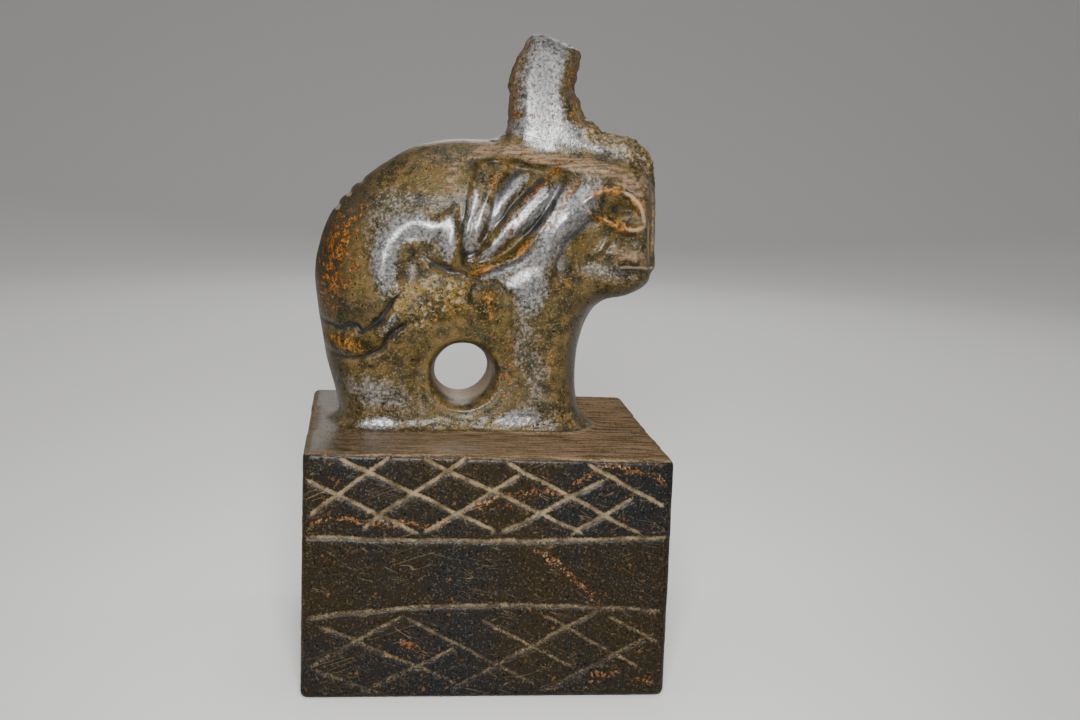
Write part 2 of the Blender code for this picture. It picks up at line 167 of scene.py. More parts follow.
FLANK_STROKES = {
    "under the ear": (0.35, 0.9, ((11.6, 46.4), (6.0, 43.0), (0.5, 40.9), (-3.6, 38.9))),
    "ear panel corner": (1.0, 1.0, ((-6.6, 46.0), (-5.2, 44.6), (-2.4, 46.2))),
    "cheek": (-1.8, 5.6, ((25.4, 61.6), (21.6, 56.6), (17.9, 51.8), (15.0, 46.6))),
    "chest bulge": (-1.3, 6.2, ((17.0, 41.0), (11.9, 38.9), (9.1, 37.8), (4.0, 35.6))),
    "eye rim above": (-1.3, 1.7, EYE_RIM_ABOVE),
    "eye rim below": (-1.5, 1.8, EYE_RIM_BELOW),
    "eye hollow": (1.7, 3.8, ((28.4, 58.2), (36.4, 56.6))),
    "eye pit": (0.9, 1.5, ((27.8, 60.0), (29.5, 57.8))),
    "second eye pit": (0.9, 1.5, ((30.9, 58.0), (32.5, 55.7))),
    "under the eye": (0.8, 3.2, ((31.0, 50.4), (36.0, 49.6), (43.6, 49.2))),
    "small tusk": (-0.8, 1.2, ((30.0, 50.2), (28.7, 47.5), (26.4, 45.2))),
    "beside the tusk": (0.4, 1.0, ((31.4, 49.4), (30.2, 46.9), (28.4, 45.0))),
    "muzzle": (-0.9, 5.6, ((21.0, 40.4), (30.0, 39.4), (41.0, 38.4))),
    "upper lip": (-0.9, 2.8, ((28.0, 46.4), (35.0, 45.4), (45.0, 44.2))),
    "mouth": (1.4, 1.1, ((30.6, 41.6), (36.3, 41.7), (39.2, 41.5), (45.0, 40.4))),
    "upper tail groove": (1.5, 1.2, ((-43.0, 27.4), (-38.2, 26.3), (-35.9, 25.8), (-34.1, 26.8),
                                     (-31.8, 26.4), (-30.9, 25.2), (-29.1, 26.4), (-26.4, 28.8),
                                     (-24.6, 31.6), (-20.8, 36.6))),
    "lower tail groove": (1.2, 1.1, ((-42.0, 20.4), (-39.1, 19.2), (-34.5, 18.3), (-29.9, 19.1),
                                     (-26.7, 20.5), (-24.5, 23.4), (-22.7, 25.8), (-19.5, 27.9))),
    "tail band": (-0.7, 3.0, ((-42.0, 22.8), (-31.0, 22.4), (-26.0, 26.0), (-21.0, 32.0))),
    "flank hollow": (2.6, 8.0, ((-19.4, 36.0), (-18.6, 43.4), (-13.8, 46.4))),
    "flank crest": (-1.2, 3.9, ((-10.0, 55.4), (-13.7, 52.0), (-18.5, 53.2), (-23.0, 51.0), (-25.8, 46.6),
                                (-26.6, 41.5), (-25.8, 36.0))),
    "flank groove": (1.3, 1.8, ((-16.0, 44.6), (-13.2, 42.8), (-10.0, 41.2), (-5.6, 40.6))),
    "panel lip": (-1.2, 3.4, ((-8.6, 57.0), (-9.4, 50.0), (-8.8, 40.6))),
    "shoulder band": (-0.9, 1.9, ((-6.0, 69.0), (0.0, 70.8), (4.7, 71.0), (10.5, 69.8), (18.2, 68.4),
                                  (26.0, 67.4), (31.0, 66.2), (35.0, 64.0), (38.6, 60.0))),
    "elbow": (-1.3, 4.2, ((0.3, 34.2), (0.8, 28.0))),
    "elbow edge": (0.5, 0.9, ((-4.4, 34.5), (-3.6, 36.9), (-1.4, 38.3), (0.6, 38.6), (3.1, 37.5), (4.3, 35.1),
                              (4.6, 33.1))),
    "elbow pit": (0.8, 1.0, ((-4.2, 37.4), (-3.8, 36.2))),
    "leg groove": (0.9, 2.2, ((5.4, 31.6), (7.0, 28.8), (7.8, 25.1), (7.7, 17.0))),
    "behind the leg": (0.8, 3.0, ((-15.6, 22.0), (-17.0, 13.0), (-15.4, 5.0))),
    "stub scratch": (0.2, 0.4, ((10.5, 84.9), (10.3, 80.9))),
    "face edge": (-0.5, 1.0, ((42.6, 61.0), (42.7, 54.0), (42.9, 44.0))),
}
FLUTE_SHAPE = (2.0, 1.0)
VALLEY_SHAPE = (1.0, 1.2)
STROKE_SHAPE = (2.0, 2.0)
STROKE_WAVER = (3.0, 0.3, (16, 17))
TAPER_LENGTH = 2.2
TAPER_END = 0.3

# Rough places: width of the edge, how far raised, how lumpy, how yellow, and the outline
ROUGH_AREAS = {
    "flank patch": (1.8, 0.4, 0.9, 0.85, (
        (-26.0, 34.0), (-24.6, 36.8), (-21.2, 37.8), (-18.1, 39.2), (-11.8, 40.4), (-7.1, 40.2), (-3.6, 37.4),
        (-4.2, 32.0), (-7.0, 29.2), (-11.7, 27.7), (-17.0, 25.4), (-21.4, 28.6))),
    "eye floor": (1.2, 0.0, 0.6, 0.0, (
        (25.6, 58.2), (29.0, 60.4), (33.0, 60.4), (37.0, 57.6), (38.6, 54.4), (35.0, 53.8), (30.0, 55.4))),
    "brow": (2.4, 0.0, 1.2, 0.95, (
        (21.0, 74.0), (26.0, 79.0), (33.0, 78.0), (40.0, 75.0), (45.0, 70.0), (44.4, 61.0), (40.0, 64.6),
        (33.0, 69.0), (26.0, 71.6))),
    "feet": (1.6, 0.0, 0.5, 0.3, (
        (-38.0, -1.0), (-38.0, 2.6), (-20.0, 3.2), (-4.0, 4.2), (12.0, 5.6), (22.0, 6.4), (28.0, 3.0),
        (28.0, -1.0))),
}
ROUGH_GRAIN = 1.15
ROUGH_SEEDS = (4, 5)
ROUGH_LUMP = (3.0 * ROUGH_GRAIN, 0.6, 15)

# Nicks across the spine: x, z, and their depth, half-width and reach to each side
SPINE_NICKS = ((-32.0, 62.2), (-34.9, 58.9), (-37.5, 55.4))
NICK_DEPTH = 0.5
NICK_RADIUS = 1.4
NICK_REACH = 4.5

# Uneven hand-worked surface: wave length and height, in hundredths of the figure's height, and seed.
# Every wave, lump, chip, nibble and waver in this script is given in this way.
SLOW_WAVE = (14.0, 0.35, 1)
QUICK_WAVE = (4.0, 0.10, 2)
TRUNK_EDGE_BAND = 2.6
TRUNK_LUMP = (1.7, 0.50, 6)
RING_RADII = (8.6, 10.2, 11.8)
RING_DEPTH = 0.16
RING_HALF_WIDTH = 0.7

# How far apart the patterns of two seeds lie in the noise
SEED_STEP = (17.3, -9.1, 5.7)

# Heights above the block's top: to where the block is worn, and from where the figure is carved, its
# feet spread and its trunk's edges are lumpy; then how far the figure reaches to each side
BLOCK_TOP_MARGIN = 0.5
FIGURE_FROM = 1.0
FLARE_FROM = 0.3
TRUNK_FROM = 55.0
FIGURE_REACH = 20.0

# Smoothing: how far each pass goes, and the passes overall, in the fillets and after the carving
SMOOTHING = 0.5
SKIN_PASSES = 6
FILLET_PASSES = 70
LAST_PASSES = 2

# Fillets: half-width and line where the trunk leaves the head, and how far out to each side; the
# middle and reach of the fillet round the feet, and how far out
HEAD_FILLET = (6.0, ((-3.0, 75.0), (20.0, 74.6), (38.0, 70.4)))
HEAD_FILLET_FROM = 3.0
HEAD_FILLET_TO = 14.5
HEAD_FILLET_FADE = 3.0
FOOT_FILLET = (0.6, 3.0)
FOOT_FILLET_TO = 17.0

# Lines cut on the front of the block, in millimetres from its middle and from its underside
LEVEL_LINES = (
    ((-43.6, 40.2), (-19.3, 39.6), (6.3, 39.4), (43.6, 40.2)),
    ((-43.6, 20.4), (-22.0, 22.5), (6.1, 23.5), (27.2, 22.8), (43.4, 22.1)),
)
FRONT_LINES = (
    ((-43.2, 44.6), (-23.7, 60.0)), ((-30.8, 42.1), (-24.7, 46.3), (-5.5, 59.8)),
    ((-16.2, 40.9), (7.3, 55.8)), ((2.5, 41.0), (27.7, 54.6)), ((18.8, 40.4), (34.9, 50.2)),
    ((-43.6, 54.1), (-16.2, 40.9)), ((-36.2, 59.5), (2.4, 41.3)), ((-16.1, 59.4), (23.1, 40.9)),
    ((3.2, 58.6), (37.2, 40.8)), ((22.6, 58.4), (42.7, 47.7)),
    ((-43.2, 7.3), (-19.5, 21.2)), ((-31.0, 1.0), (-6.8, 13.0)), ((-9.0, 1.8), (27.2, 22.2)),
    ((13.9, 1.3), (41.5, 16.5)), ((-41.6, 7.6), (-24.2, 1.0)), ((-40.6, 18.7), (-5.9, 3.4)),
    ((-20.1, 20.6), (13.2, 2.9)), ((-2.0, 20.2), (22.6, 7.0)), ((13.2, 21.2), (38.8, 6.9)),
    ((29.0, 20.9), (42.9, 13.5)),
)
PLAIN_LEVELS = (40.0, 22.4)
PLAIN_SPACING = 22.0
PLAIN_LEAN = math.radians(29.0)
PLAIN_MARGIN = 1.6
UPPER_BAND = (41.0, 59.0)
LOWER_BAND = (1.0, 21.4)
LINE_DEPTH = 0.42
LINE_HALF_WIDTH = 0.86
LINE_SHAPE = (2.0, 1.3)
LINE_WAVER = (6.0, 0.35, (7, 8))
FAINTEST_LINE = 0.5

# Rusty veins on the front of the block, in the same millimetres, with their half-width and relief
VEINS = (
    ((-43.2, 41.4), (-37.8, 44.6), (-23.8, 43.8), (-13.8, 43.2), (-7.0, 46.2), (1.0, 49.4), (10.0, 51.0),
     (17.8, 51.4), (22.7, 55.2), (28.9, 57.5), (35.9, 56.6), (43.7, 53.5)),
    ((8.7, 38.4), (15.2, 34.6), (21.8, 29.3), (27.7, 22.8)),
    ((23.5, 0.9), (26.5, 4.9), (34.8, 6.9)), ((36.5, 4.2), (43.2, 3.8)),
    ((-21.0, 14.8), (-17.0, 12.8), (-14.6, 9.4)), ((-25.6, 12.0), (-19.4, 8.8)), ((-28.8, 4.2), (-24.4, 4.8)),
)
VEIN_HALF_WIDTH = 1.3
VEIN_WAVER = (3.2, 1.3, (9, 10))
VEIN_LUMP = (0.9, 0.35, 12)

# Wear along the block's edges
EDGE_BAND = 2.0
EDGE_CHIP = (5.0, 0.35, 13)
EDGE_NIBBLE = (1.6, 0.30, 14)
LEAST_WEAR = 0.15
BLOCK_WAVE = (9.0, 0.06, 11)

# How near a side of the block a vertex is cut, and how far over its top, in millimetres; the strip
# above its underside that is left plain, in hundredths
FACE_REACH = 2.0
FACE_TOP_MARGIN = 1.0
FOOT_MARGIN = 0.4

# Where the patina's colours, the painted grey sheen, the painted shade and the painted highlights lie on the
# flanks: strength, half-width, and the line
RUST_AREAS = {
    "rump": (0.95, 6.4, ((-28.0, 60.0), (-34.0, 52.0), (-36.8, 46.0), (-37.6, 40.0), (-39.5, 33.0),
                         (-40.5, 25.0))),
    "rump tongue": (0.9, 2.4, ((-36.0, 41.5), (-28.0, 43.2))),
    "lower rump tongue": (0.8, 2.2, ((-38.0, 37.8), (-30.5, 38.6))),
    "rump edge": (0.7, 3.4, ((-43.5, 44.0), (-42.0, 28.0))),
    "back streak": (0.6, 1.8, ((-19.5, 66.0), (-14.0, 66.6), (-7.5, 66.4))),
    "above the lip": (0.55, 2.8, ((-9.8, 63.5), (-11.6, 56.0))),
    "second flute": (0.85, 1.6, ((5.4, 69.0), (2.6, 65.2), (-0.6, 60.4))),
    "second flute foot": (0.5, 1.6, ((-2.6, 52.5), (-4.6, 46.5))),
    "fourth flute": (0.9, 1.7, ((20.0, 67.6), (13.8, 63.8), (7.0, 57.0))),
    "fourth flute side": (0.65, 1.7, ((9.6, 57.4), (3.6, 50.5), (-0.6, 45.6))),
    "cheek edge": (0.95, 1.7, ((23.4, 66.0), (19.4, 60.0), (16.0, 54.6), (11.6, 50.4))),
    "cheek": (0.4, 4.4, ((22.0, 60.0), (16.0, 50.0))),
    "beside the hole": (0.65, 2.8, ((4.8, 27.0), (6.4, 17.0), (4.0, 6.0))),
    "foreleg": (0.5, 4.0, ((8.0, 12.0), (22.0, 8.0))),
    "foreleg edge": (0.5, 2.6, ((23.6, 22.0), (24.0, 6.0))),
    "chest": (0.4, 4.0, ((12.0, 24.0), (19.0, 31.0))),
    "stub back": (0.9, 2.2, ((10.4, 99.5), (7.6, 94.5), (6.4, 88.0), (6.0, 80.0), (5.4, 75.0))),
    "stub front": (0.85, 2.6, ((22.0, 97.0), (21.8, 91.0), (20.8, 86.4), (23.5, 81.5), (27.0, 77.5))),
    "brow": (0.75, 2.2, ((28.0, 76.4), (36.0, 74.4), (41.4, 70.4), (43.0, 62.0))),
    "stub spot": (0.7, 2.0, ((16.6, 93.4), (22.0, 92.6))),
    "stub foot": (0.62, 4.4, ((2.0, 80.0), (13.0, 80.0), (22.0, 78.4), (33.0, 73.0))),
    "band": (0.42, 2.4, ((-4.0, 70.0), (8.0, 70.6), (20.0, 68.0), (31.0, 66.4))),
    "feet": (0.4, 3.2, ((-35.0, 5.0), (-18.0, 4.0))),
}
OCHRE_AREAS = {
    "eye rim above": (0.85, 1.7, EYE_RIM_ABOVE),
    "eye rim below": (0.9, 2.3, EYE_RIM_BELOW),
    "eye corner": (0.6, 2.0, ((23.4, 61.2), (27.6, 62.4))),
    "ear corner": (0.9, 2.0, ((2.0, 42.8), (-3.0, 41.0), (-6.6, 40.1))),
    "lower ear edge": (0.6, 1.7, ((12.8, 51.8), (8.7, 47.1), (4.8, 44.3), (0.0, 42.2), (-5.4, 40.8))),
    "tail band": (0.7, 3.2, ((-43.0, 23.2), (-36.0, 22.0), (-31.0, 21.8), (-27.0, 23.8))),
    "rump": (0.4, 8.0, ((-36.0, 54.0), (-38.0, 36.0))),
    "valley": (0.45, 4.0, ((26.0, 51.6), (22.4, 48.6), (20.4, 44.6), (19.2, 33.0))),
    "elbow": (0.6, 4.0, ((0.0, 41.0), (0.3, 35.0), (1.0, 26.0))),
    "panel wall": (0.35, 2.0, ((-6.8, 65.0), (-8.0, 56.0), (-7.8, 43.0))),
    "forelegs": (0.4, 6.0, ((14.0, 26.0), (18.0, 6.0))),
    "beside the hole": (0.35, 4.0, ((4.0, 22.0), (4.6, 6.0))),
}
EARTH_AREAS = {
    "shoulder band": (1.0, 2.8, ((-7.0, 68.8), (0.0, 70.8), (4.7, 71.0), (10.5, 69.8), (18.2, 68.4),
                                 (26.0, 67.4), (31.0, 66.2), (35.0, 64.0), (39.6, 59.0))),
    "left of the panel": (0.8, 2.8, ((-4.0, 70.0), (-8.6, 66.0), (-10.0, 58.0))),
    "face": (0.85, 2.4, ((36.0, 66.5), (40.6, 62.0), (42.6, 56.0), (43.4, 44.0))),
    "upper lip": (0.65, 3.8, ((27.0, 46.8), (34.6, 46.2), (39.8, 45.2), (44.0, 44.4))),
    "second flute": (0.5, 2.2, ((4.8, 68.4), (1.0, 62.4), (-1.0, 57.3), (-2.4, 52.0))),
    "fourth flute": (0.4, 1.6, ((17.6, 64.6), (12.8, 59.4), (8.0, 53.6), (4.6, 49.4))),
    "jaw": (0.4, 5.0, ((26.0, 37.0), (40.0, 37.0))),
    "elbow": (0.45, 4.2, ((0.0, 41.0), (0.4, 35.0), (0.8, 27.0))),
    "hind leg": (0.35, 8.0, ((-30.0, 14.0), (-20.0, 6.0))),
}
# Painted sheen: grey where the patina is thinner, lightened where the polished stone catches the highlights
GREY_SHEEN_AREAS = {
    "stub": (1.0, 8.2, ((16.0, 112.0), (14.5, 98.0), (12.6, 90.0), (12.2, 84.0), (13.5, 78.0), (15.0, 66.0))),
    "stub foot": (1.0, 4.4, ((2.0, 76.6), (17.0, 76.0), (30.0, 73.2))),
    "brow": (0.8, 4.2, ((20.0, 75.0), (42.0, 70.0))),
    "cheek": (1.0, 6.2, ((29.0, 67.0), (22.0, 57.4), (17.4, 51.6), (14.2, 47.0), (11.6, 38.0))),
    "chest": (1.0, 7.0, ((16.0, 47.0), (12.0, 41.0), (10.6, 36.0), (10.6, 26.0))),
    "crescent": (1.0, 2.8, ((15.0, 43.6), (11.9, 41.1), (9.1, 40.1), (6.6, 38.7), (2.6, 38.0))),
    "flank crest": (1.0, 4.8, ((-8.0, 53.4), (-13.7, 51.0), (-18.5, 52.0), (-23.0, 50.2), (-25.4, 46.0),
                               (-25.8, 33.0))),
    "upper flank": (0.62, 8.0, ((-31.0, 42.0), (-24.0, 56.0), (-10.0, 58.0))),
    "hollow": (0.7, 6.0, ((-18.0, 44.0), (-12.0, 48.0))),
    "lip": (1.0, 3.0, ((-10.4, 56.0), (-10.4, 42.0))),
    "muzzle": (0.55, 4.0, ((19.0, 43.6), (29.3, 41.6), (36.0, 40.8), (42.0, 40.4))),
    "first flute": (0.9, 1.6, ((-2.9, 62.1), (-5.1, 54.9), (-5.6, 45.0))),
    "second flute": (0.9, 1.8, ((-0.4, 60.0), (-2.6, 53.0), (-4.8, 43.0))),
    "third flute": (1.0, 2.4, ((10.4, 65.6), (8.3, 63.9), (4.0, 60.1), (1.5, 55.5), (0.0, 50.0))),
    "fourth flute": (0.9, 1.8, ((16.0, 63.4), (11.6, 59.6), (6.6, 54.3), (1.0, 46.6), (-3.0, 42.6))),
    "foreleg": (0.54, 5.8, ((9.6, 40.0), (9.4, 27.0), (10.8, 20.0), (13.4, 14.0), (12.0, 0.0))),
    "hind leg": (0.62, 6.6, ((-42.0, 14.0), (-27.4, 9.6), (-13.0, 6.6))),
    "under the ear": (0.85, 2.8, ((16.0, 48.4), (8.4, 44.0), (4.0, 41.8), (-4.0, 39.4))),
    "fifth flute": (1.0, 2.0, ((18.4, 64.0), (13.2, 57.8), (8.6, 53.0), (4.6, 49.2))),
    "tail end": (0.6, 2.0, ((-27.0, 23.6), (-21.0, 31.6))),
    "hind foot": (1.0, 2.8, ((-33.0, 1.6), (-20.0, 1.6))),
    "forefoot": (1.0, 3.2, ((2.0, 2.8), (16.0, 4.6))),
    "under the tail": (0.45, 4.0, ((-38.0, 30.0), (-28.0, 31.0))),
}
# Painted shade in pits, grooves, the valleys between the flutes and under the rim of the eye
CREASE_SHADE_AREAS = {
    "eye pit": (1.0, 1.6, ((27.4, 60.6), (29.8, 57.4))),
    "second eye pit": (1.0, 1.6, ((30.6, 58.6), (32.8, 55.2))),
    "valley line": (0.75, 1.5, ((28.0, 54.2), (25.7, 53.9), (22.9, 51.9), (20.1, 49.2), (18.5, 46.3),
                                (17.4, 42.8), (17.8, 38.6))),
    "elbow pit": (1.0, 1.2, ((-4.2, 37.4), (-3.8, 36.2))),
    "below the lip": (0.6, 1.3, ((31.0, 41.6), (36.3, 41.6), (43.6, 40.6))),
    "below the second flute": (1.0, 1.2, ((9.0, 67.6), (4.6, 62.6), (1.0, 57.0), (-0.8, 51.0))),
    "below the third flute": (0.8, 1.2, ((14.6, 65.4), (9.4, 60.4), (5.0, 56.4), (1.6, 50.4))),
    "below the fifth flute": (1.0, 1.4, ((19.4, 64.4), (16.0, 58.4), (12.2, 53.4), (8.0, 49.4))),
    "above the patch": (0.7, 1.2, ((-22.0, 38.4), (-18.0, 39.8), (-14.0, 41.6))),
    "top of the third flute": (0.6, 2.4, ((14.4, 68.4), (8.0, 64.6))),
    "foot of the fifth flute": (0.7, 2.6, ((9.6, 51.6), (6.0, 48.6))),
    "leg crease": (0.6, 0.8, ((6.8, 20.6), (10.2, 19.6), (15.2, 20.7))),
}
SHADE_AREAS = {
    "eye floor": (1.0, 4.0, ((28.4, 58.4), (36.8, 56.4))),
    "rump": (1.0, 9.6, ((-26.0, 70.0), (-36.0, 57.0), (-41.0, 45.0), (-41.0, 34.0), (-41.0, 20.0))),
    "above the tail": (0.7, 4.4, ((-42.0, 30.0), (-32.0, 30.0), (-25.0, 33.0))),
    "below the tail": (1.0, 6.4, ((-41.0, 19.0), (-37.0, 14.0), (-34.6, 6.0))),
    "tail band": (0.35, 3.4, ((-42.0, 23.0), (-30.0, 22.4))),
    "fore edge": (0.9, 4.6, ((24.0, 28.0), (24.0, 6.0))),
    "throat": (0.6, 4.6, ((18.6, 38.0), (22.5, 33.0), (36.0, 35.0))),
    "ear edge": (0.7, 1.6, ((10.6, 49.8), (4.0, 45.0))),
    "stub front": (0.5, 2.6, ((20.5, 96.0), (19.6, 87.0), (20.5, 81.0))),
    "below the eye": (0.5, 3.6, ((28.0, 52.0), (22.4, 46.0), (19.8, 40.0))),
    "beside the hole": (0.5, 3.4, ((4.4, 26.0), (5.4, 15.0))),
    "top of the back": (0.35, 3.0, ((-32.0, 61.0), (-20.0, 69.0), (-8.0, 72.0))),
}
# Painted highlights: pale lines where the eye's rim, the lip and the side of the face catch the light
PAINTED_HIGHLIGHTS = {
    "rim of the eye": (0.7, 0.65, ((33.0, 61.9), (36.3, 60.1), (38.3, 57.0), (39.5, 53.4))),
    "foot of the eye": (0.6, 0.8, ((34.0, 52.6), (37.0, 52.2), (40.0, 53.4))),
    "lip": (0.6, 0.6, ((33.0, 42.6), (36.3, 42.6), (39.2, 42.5), (43.6, 41.7))),
    "side of the face": (0.45, 0.6, ((40.3, 55.0), (40.8, 50.0), (41.5, 42.6))),
}

# Where the polish is lost, with the same three values
DULL_AREAS = {
    "below the eye": (1.0, 5.0, ((32.0, 51.6), (25.0, 50.6), (21.4, 46.6), (19.6, 39.0))),
    "eye": (1.0, 4.6, ((27.0, 58.0), (38.0, 56.0))),
    "tail band": (0.9, 3.4, ((-43.0, 23.0), (-30.0, 22.6), (-24.0, 27.0))),
    "below the tail": (0.7, 7.0, ((-42.0, 15.0), (-30.0, 14.0), (-20.0, 19.0))),
    "rump": (0.6, 9.0, ((-36.0, 56.0), (-42.0, 36.0))),
    "belly": (0.8, 7.0, ((-18.0, 30.0), (-6.0, 32.0), (2.0, 30.0), (4.0, 20.0))),
    "jaw": (0.7, 4.6, ((24.0, 34.0), (36.0, 36.6), (43.0, 38.0))),
    "lower ear edge": (0.8, 2.0, ((12.4, 51.4), (4.8, 44.6), (-7.0, 40.5))),
    "stub": (0.72, 9.0, ((13.0, 110.0), (12.0, 78.0))),
    "foreleg": (0.6, 6.5, ((9.6, 38.0), (9.4, 27.0), (10.8, 20.0), (13.4, 14.0), (12.0, 3.0))),
    "hind leg": (0.55, 8.0, ((-46.0, 14.0), (-27.4, 10.6), (-9.0, 8.6))),
    "muzzle": (0.6, 4.8, ((18.0, 43.6), (29.3, 41.2), (36.0, 40.4), (46.0, 39.6))),
    "panel top": (1.0, 1.8, ((1.0, 69.2), (9.0, 67.8), (19.6, 66.2))),
    "feet": (0.1, 3.0, ((-36.0, 1.0), (26.0, 2.0))),
    "elbow": (1.0, 4.4, ((0.0, 43.0), (0.3, 36.0), (0.8, 26.0))),
    "under the ear": (0.8, 1.9, ((14.4, 48.0), (8.4, 44.6), (4.0, 42.4), (-2.0, 40.0))),
}

# Carved strokes with painted shade inside them, and how dark; then the painted shade along the ear panel's
# edge
SHADED_STROKES = {
    "upper tail groove": 0.95, "lower tail groove": 0.8, "flank groove": 0.7, "under the ear": 0.45,
    "ear panel corner": 0.9, "elbow edge": 0.35, "stub scratch": 1.0,
}
STROKE_SHADE_WIDTH = 0.8
PANEL_EDGE_SHADE = 0.7
PANEL_EDGE_WIDTH = 0.8
PAINT_SHAPE = (2.0, 1.0)

# Where the figure's colours start above the block's top, the bare rim of the hole, and how steeply
# the colour of the block's top comes in as the skin turns upwards
FIGURE_FADE = (-0.2, 1.2)
HOLE_BARE = 0.9
TOP_FACING = (2.0, 0.8)

# Hollows of the skin, where painted shade gathers in the creases
HOLLOW_GAIN = 1.2
HOLLOW_PASSES = 3
LEAST_SPACING = 0.1

# Colours of the stone, among them the painted sheen, shade and highlights
OLIVE_DARK = (0.014, 0.012, 0.005)
OLIVE = (0.060, 0.043, 0.012)
OLIVE_BROWN = (0.100, 0.058, 0.020)
PALE_GRAIN = (0.200, 0.138, 0.055)
BLACK_GRAIN = (0.006, 0.006, 0.007)
# Grey of the thinner patina, lightened as painted sheen
SHEEN_GREY_DARK = (0.036, 0.036, 0.038)
SHEEN_GREY = (0.130, 0.122, 0.114)
SHEEN_GREY_PALE = (0.270, 0.245, 0.225)
SHADE = (0.014, 0.010, 0.004)
EARTH_DARK = (0.052, 0.036, 0.019)
EARTH = (0.185, 0.123, 0.072)
EARTH_RED = (0.180, 0.078, 0.030)
OCHRE_DARK = (0.075, 0.030, 0.006)
OCHRE = (0.260, 0.112, 0.020)
RUST_DARK = (0.042, 0.015, 0.004)
RUST = (0.155, 0.057, 0.010)
RUST_PALE = (0.300, 0.140, 0.040)
PATCH_DARK = (0.018, 0.013, 0.005)
PATCH_BROWN = (0.110, 0.068, 0.015)
PATCH_YELLOW = (0.280, 0.178, 0.042)
PATCH_PALE = (0.280, 0.235, 0.165)
# Painted shade in the creases
CREASE_SHADE = (0.007, 0.009, 0.012)
# Bare stone, and the pale of the painted highlights
BARE_AND_HIGHLIGHT = (0.280, 0.210, 0.140)
BLOCK_BLUE = (0.006, 0.007, 0.008)
BLOCK_OLIVE = (0.014, 0.009, 0.003)
BLOCK_PALE = (0.085, 0.068, 0.040)
FLECK = (0.100, 0.048, 0.014)
VEIN_RUST = (0.110, 0.042, 0.012)
VEIN_PALE = (0.230, 0.185, 0.130)
CUT_TAN = (0.200, 0.155, 0.095)
CUT_BROWN = (0.075, 0.052, 0.026)
SCRATCH = (0.110, 0.078, 0.042)

# Noises of the stone: size in millimetres, and detail
CLOUDS = {
    "wide": (30.0, 3.0), "broad": (9.0, 3.0), "middling": (2.6, 5.0), "wisps": (1.5, 6.0),
    "fine": (0.9, 5.0), "glints": (0.7, 5.0), "flaws": (0.6, 3.0), "finest": (0.45, 3.0),
}
STREAK = (0.8, 5.0)
STREAK_STRETCH = 11.0
GRAIN_SIZE = 0.42
BIG_GRAIN_SIZE = 0.7
MIDDLE_GREY = 0.5

# Scratches: direction in degrees and size; then their gaps, with detail, start and end
SCRATCHES = ((13.0, 2.2), (34.0, 2.8), (-20.0, 3.4), (24.0, 1.6))
SCRATCH_STRETCH = 16.0
SCRATCH_DETAIL = 1.0
SCRATCH_FINENESS = 0.008
SCRATCH_PATCHES = (4.0, 2.0, 0.53, 0.62)

# Values painted on the vertices, and sums of noises and painted values with their weights
LAYERS = ("figure", "rust", "ochre", "earth", "grey_sheen", "dark", "shade", "dull", "patch", "bare_and_highlights", "cut",
          "vein", "hollow")
BLENDS = {
    "soft": (("broad", 0.5), ("middling", 0.5)),
    "mixed": (("fine", 0.5), ("middling", 0.5)),
    "close": (("fine", 0.5), ("finest", 0.5)),
    "grained": (("streaks", 0.6), ("fine", 0.2), ("finest", 0.2)),
    "cloudy": (("wide", 1.0), ("middling", 0.4)),
    # painted shade gathered in the creases: from the painted strokes, the hollows of the skin and the grain
    "sunk": (("dark", 0.85), ("hollow", 0.55), ("fine", 0.8)),
    "upturned": (("earth", 1.0), ("fine", 0.3)),
}

# Masks: the value that each is cut from, where it starts and where it is full
MASKS = {
    "pale specks": ("finest", 0.56, 0.72), "dark specks": ("flaws", 0.58, 0.70),
    "olive spots": ("soft", 0.38, 0.62), "brown spots": ("mixed", 0.45, 0.68),
    "grey_sheen grain": ("fine", 0.35, 0.65), "sheen spots": ("glints", 0.30, 0.58),
    "earth grain": ("grained", 0.40, 0.60), "red streaks": ("streaks", 0.6, 0.72),
    "earth pits": ("dark grain", 0.75, 0.95), "ochre grain": ("fine", 0.35, 0.62),
    "ochre pits": ("dark grain", 0.6, 0.9), "rust grain": ("close", 0.42, 0.62),
    "rust glints": ("light grain", 0.75, 0.98), "patch grain": ("mixed", 0.42, 0.58),
    "yellow spots": ("middling", 0.35, 0.55), "patch wisps": ("wisps", 0.53, 0.62),
    "painted crease shade": ("sunk", 0.62, 1.35), "bare_and_highlights spots": ("bare_and_highlights", 0.15, 0.6),
    "olive clouds": ("cloudy", 0.5, 0.9), "big grains": ("big grain", 0.93, 0.98),
    "fleck spots": ("middling", 0.48, 0.64), "fleck edges": ("fine", 0.3, 0.6),
    "scratched": ("scratches", 0.0, 1.5), "vein grain": ("fine", 0.44, 0.58),
    "top": ("upturned", 0.3, 0.9), "cut spots": ("middling", 0.3, 0.7), "on the figure": ("figure", 0.1, 0.9),
}

# Painted values with a ragged edge: the noise that breaks it up, how far, start and end
RAGGED = {
    "grey_sheen share": ("grey_sheen", "mixed", 1.6, 0.3, 0.9), "earth share": ("earth", "mixed", 1.4, 0.3, 0.9),
    "shade share": ("shade", "mixed", 1.2, 0.1, 1.1), "ochre share": ("ochre", "mixed", 2.6, 0.4, 1.0),
    "rust share": ("rust", "wisps", 4.0, 0.72, 1.15), "patch share": ("patch", "mixed", 2.4, 0.3, 0.9),
    "vein share": ("vein", "wisps", 2.6, 0.4, 0.9), "cut share": ("cut", "close", 1.6, 0.25, 1.0),
}
PRODUCTS = {
    "yellow specks": ("pale specks", "yellow spots"),
    "flecks": ("big grains", "fleck spots", "fleck edges"),
    "sheen": ("polish", "figure", "grey_sheen share", "sheen spots"),
    "patch lumps": ("patch share", "wisps"),
    "rust lumps": ("rust share", "wisps"),
    "cut lumps": ("cut share", "finest"),
}

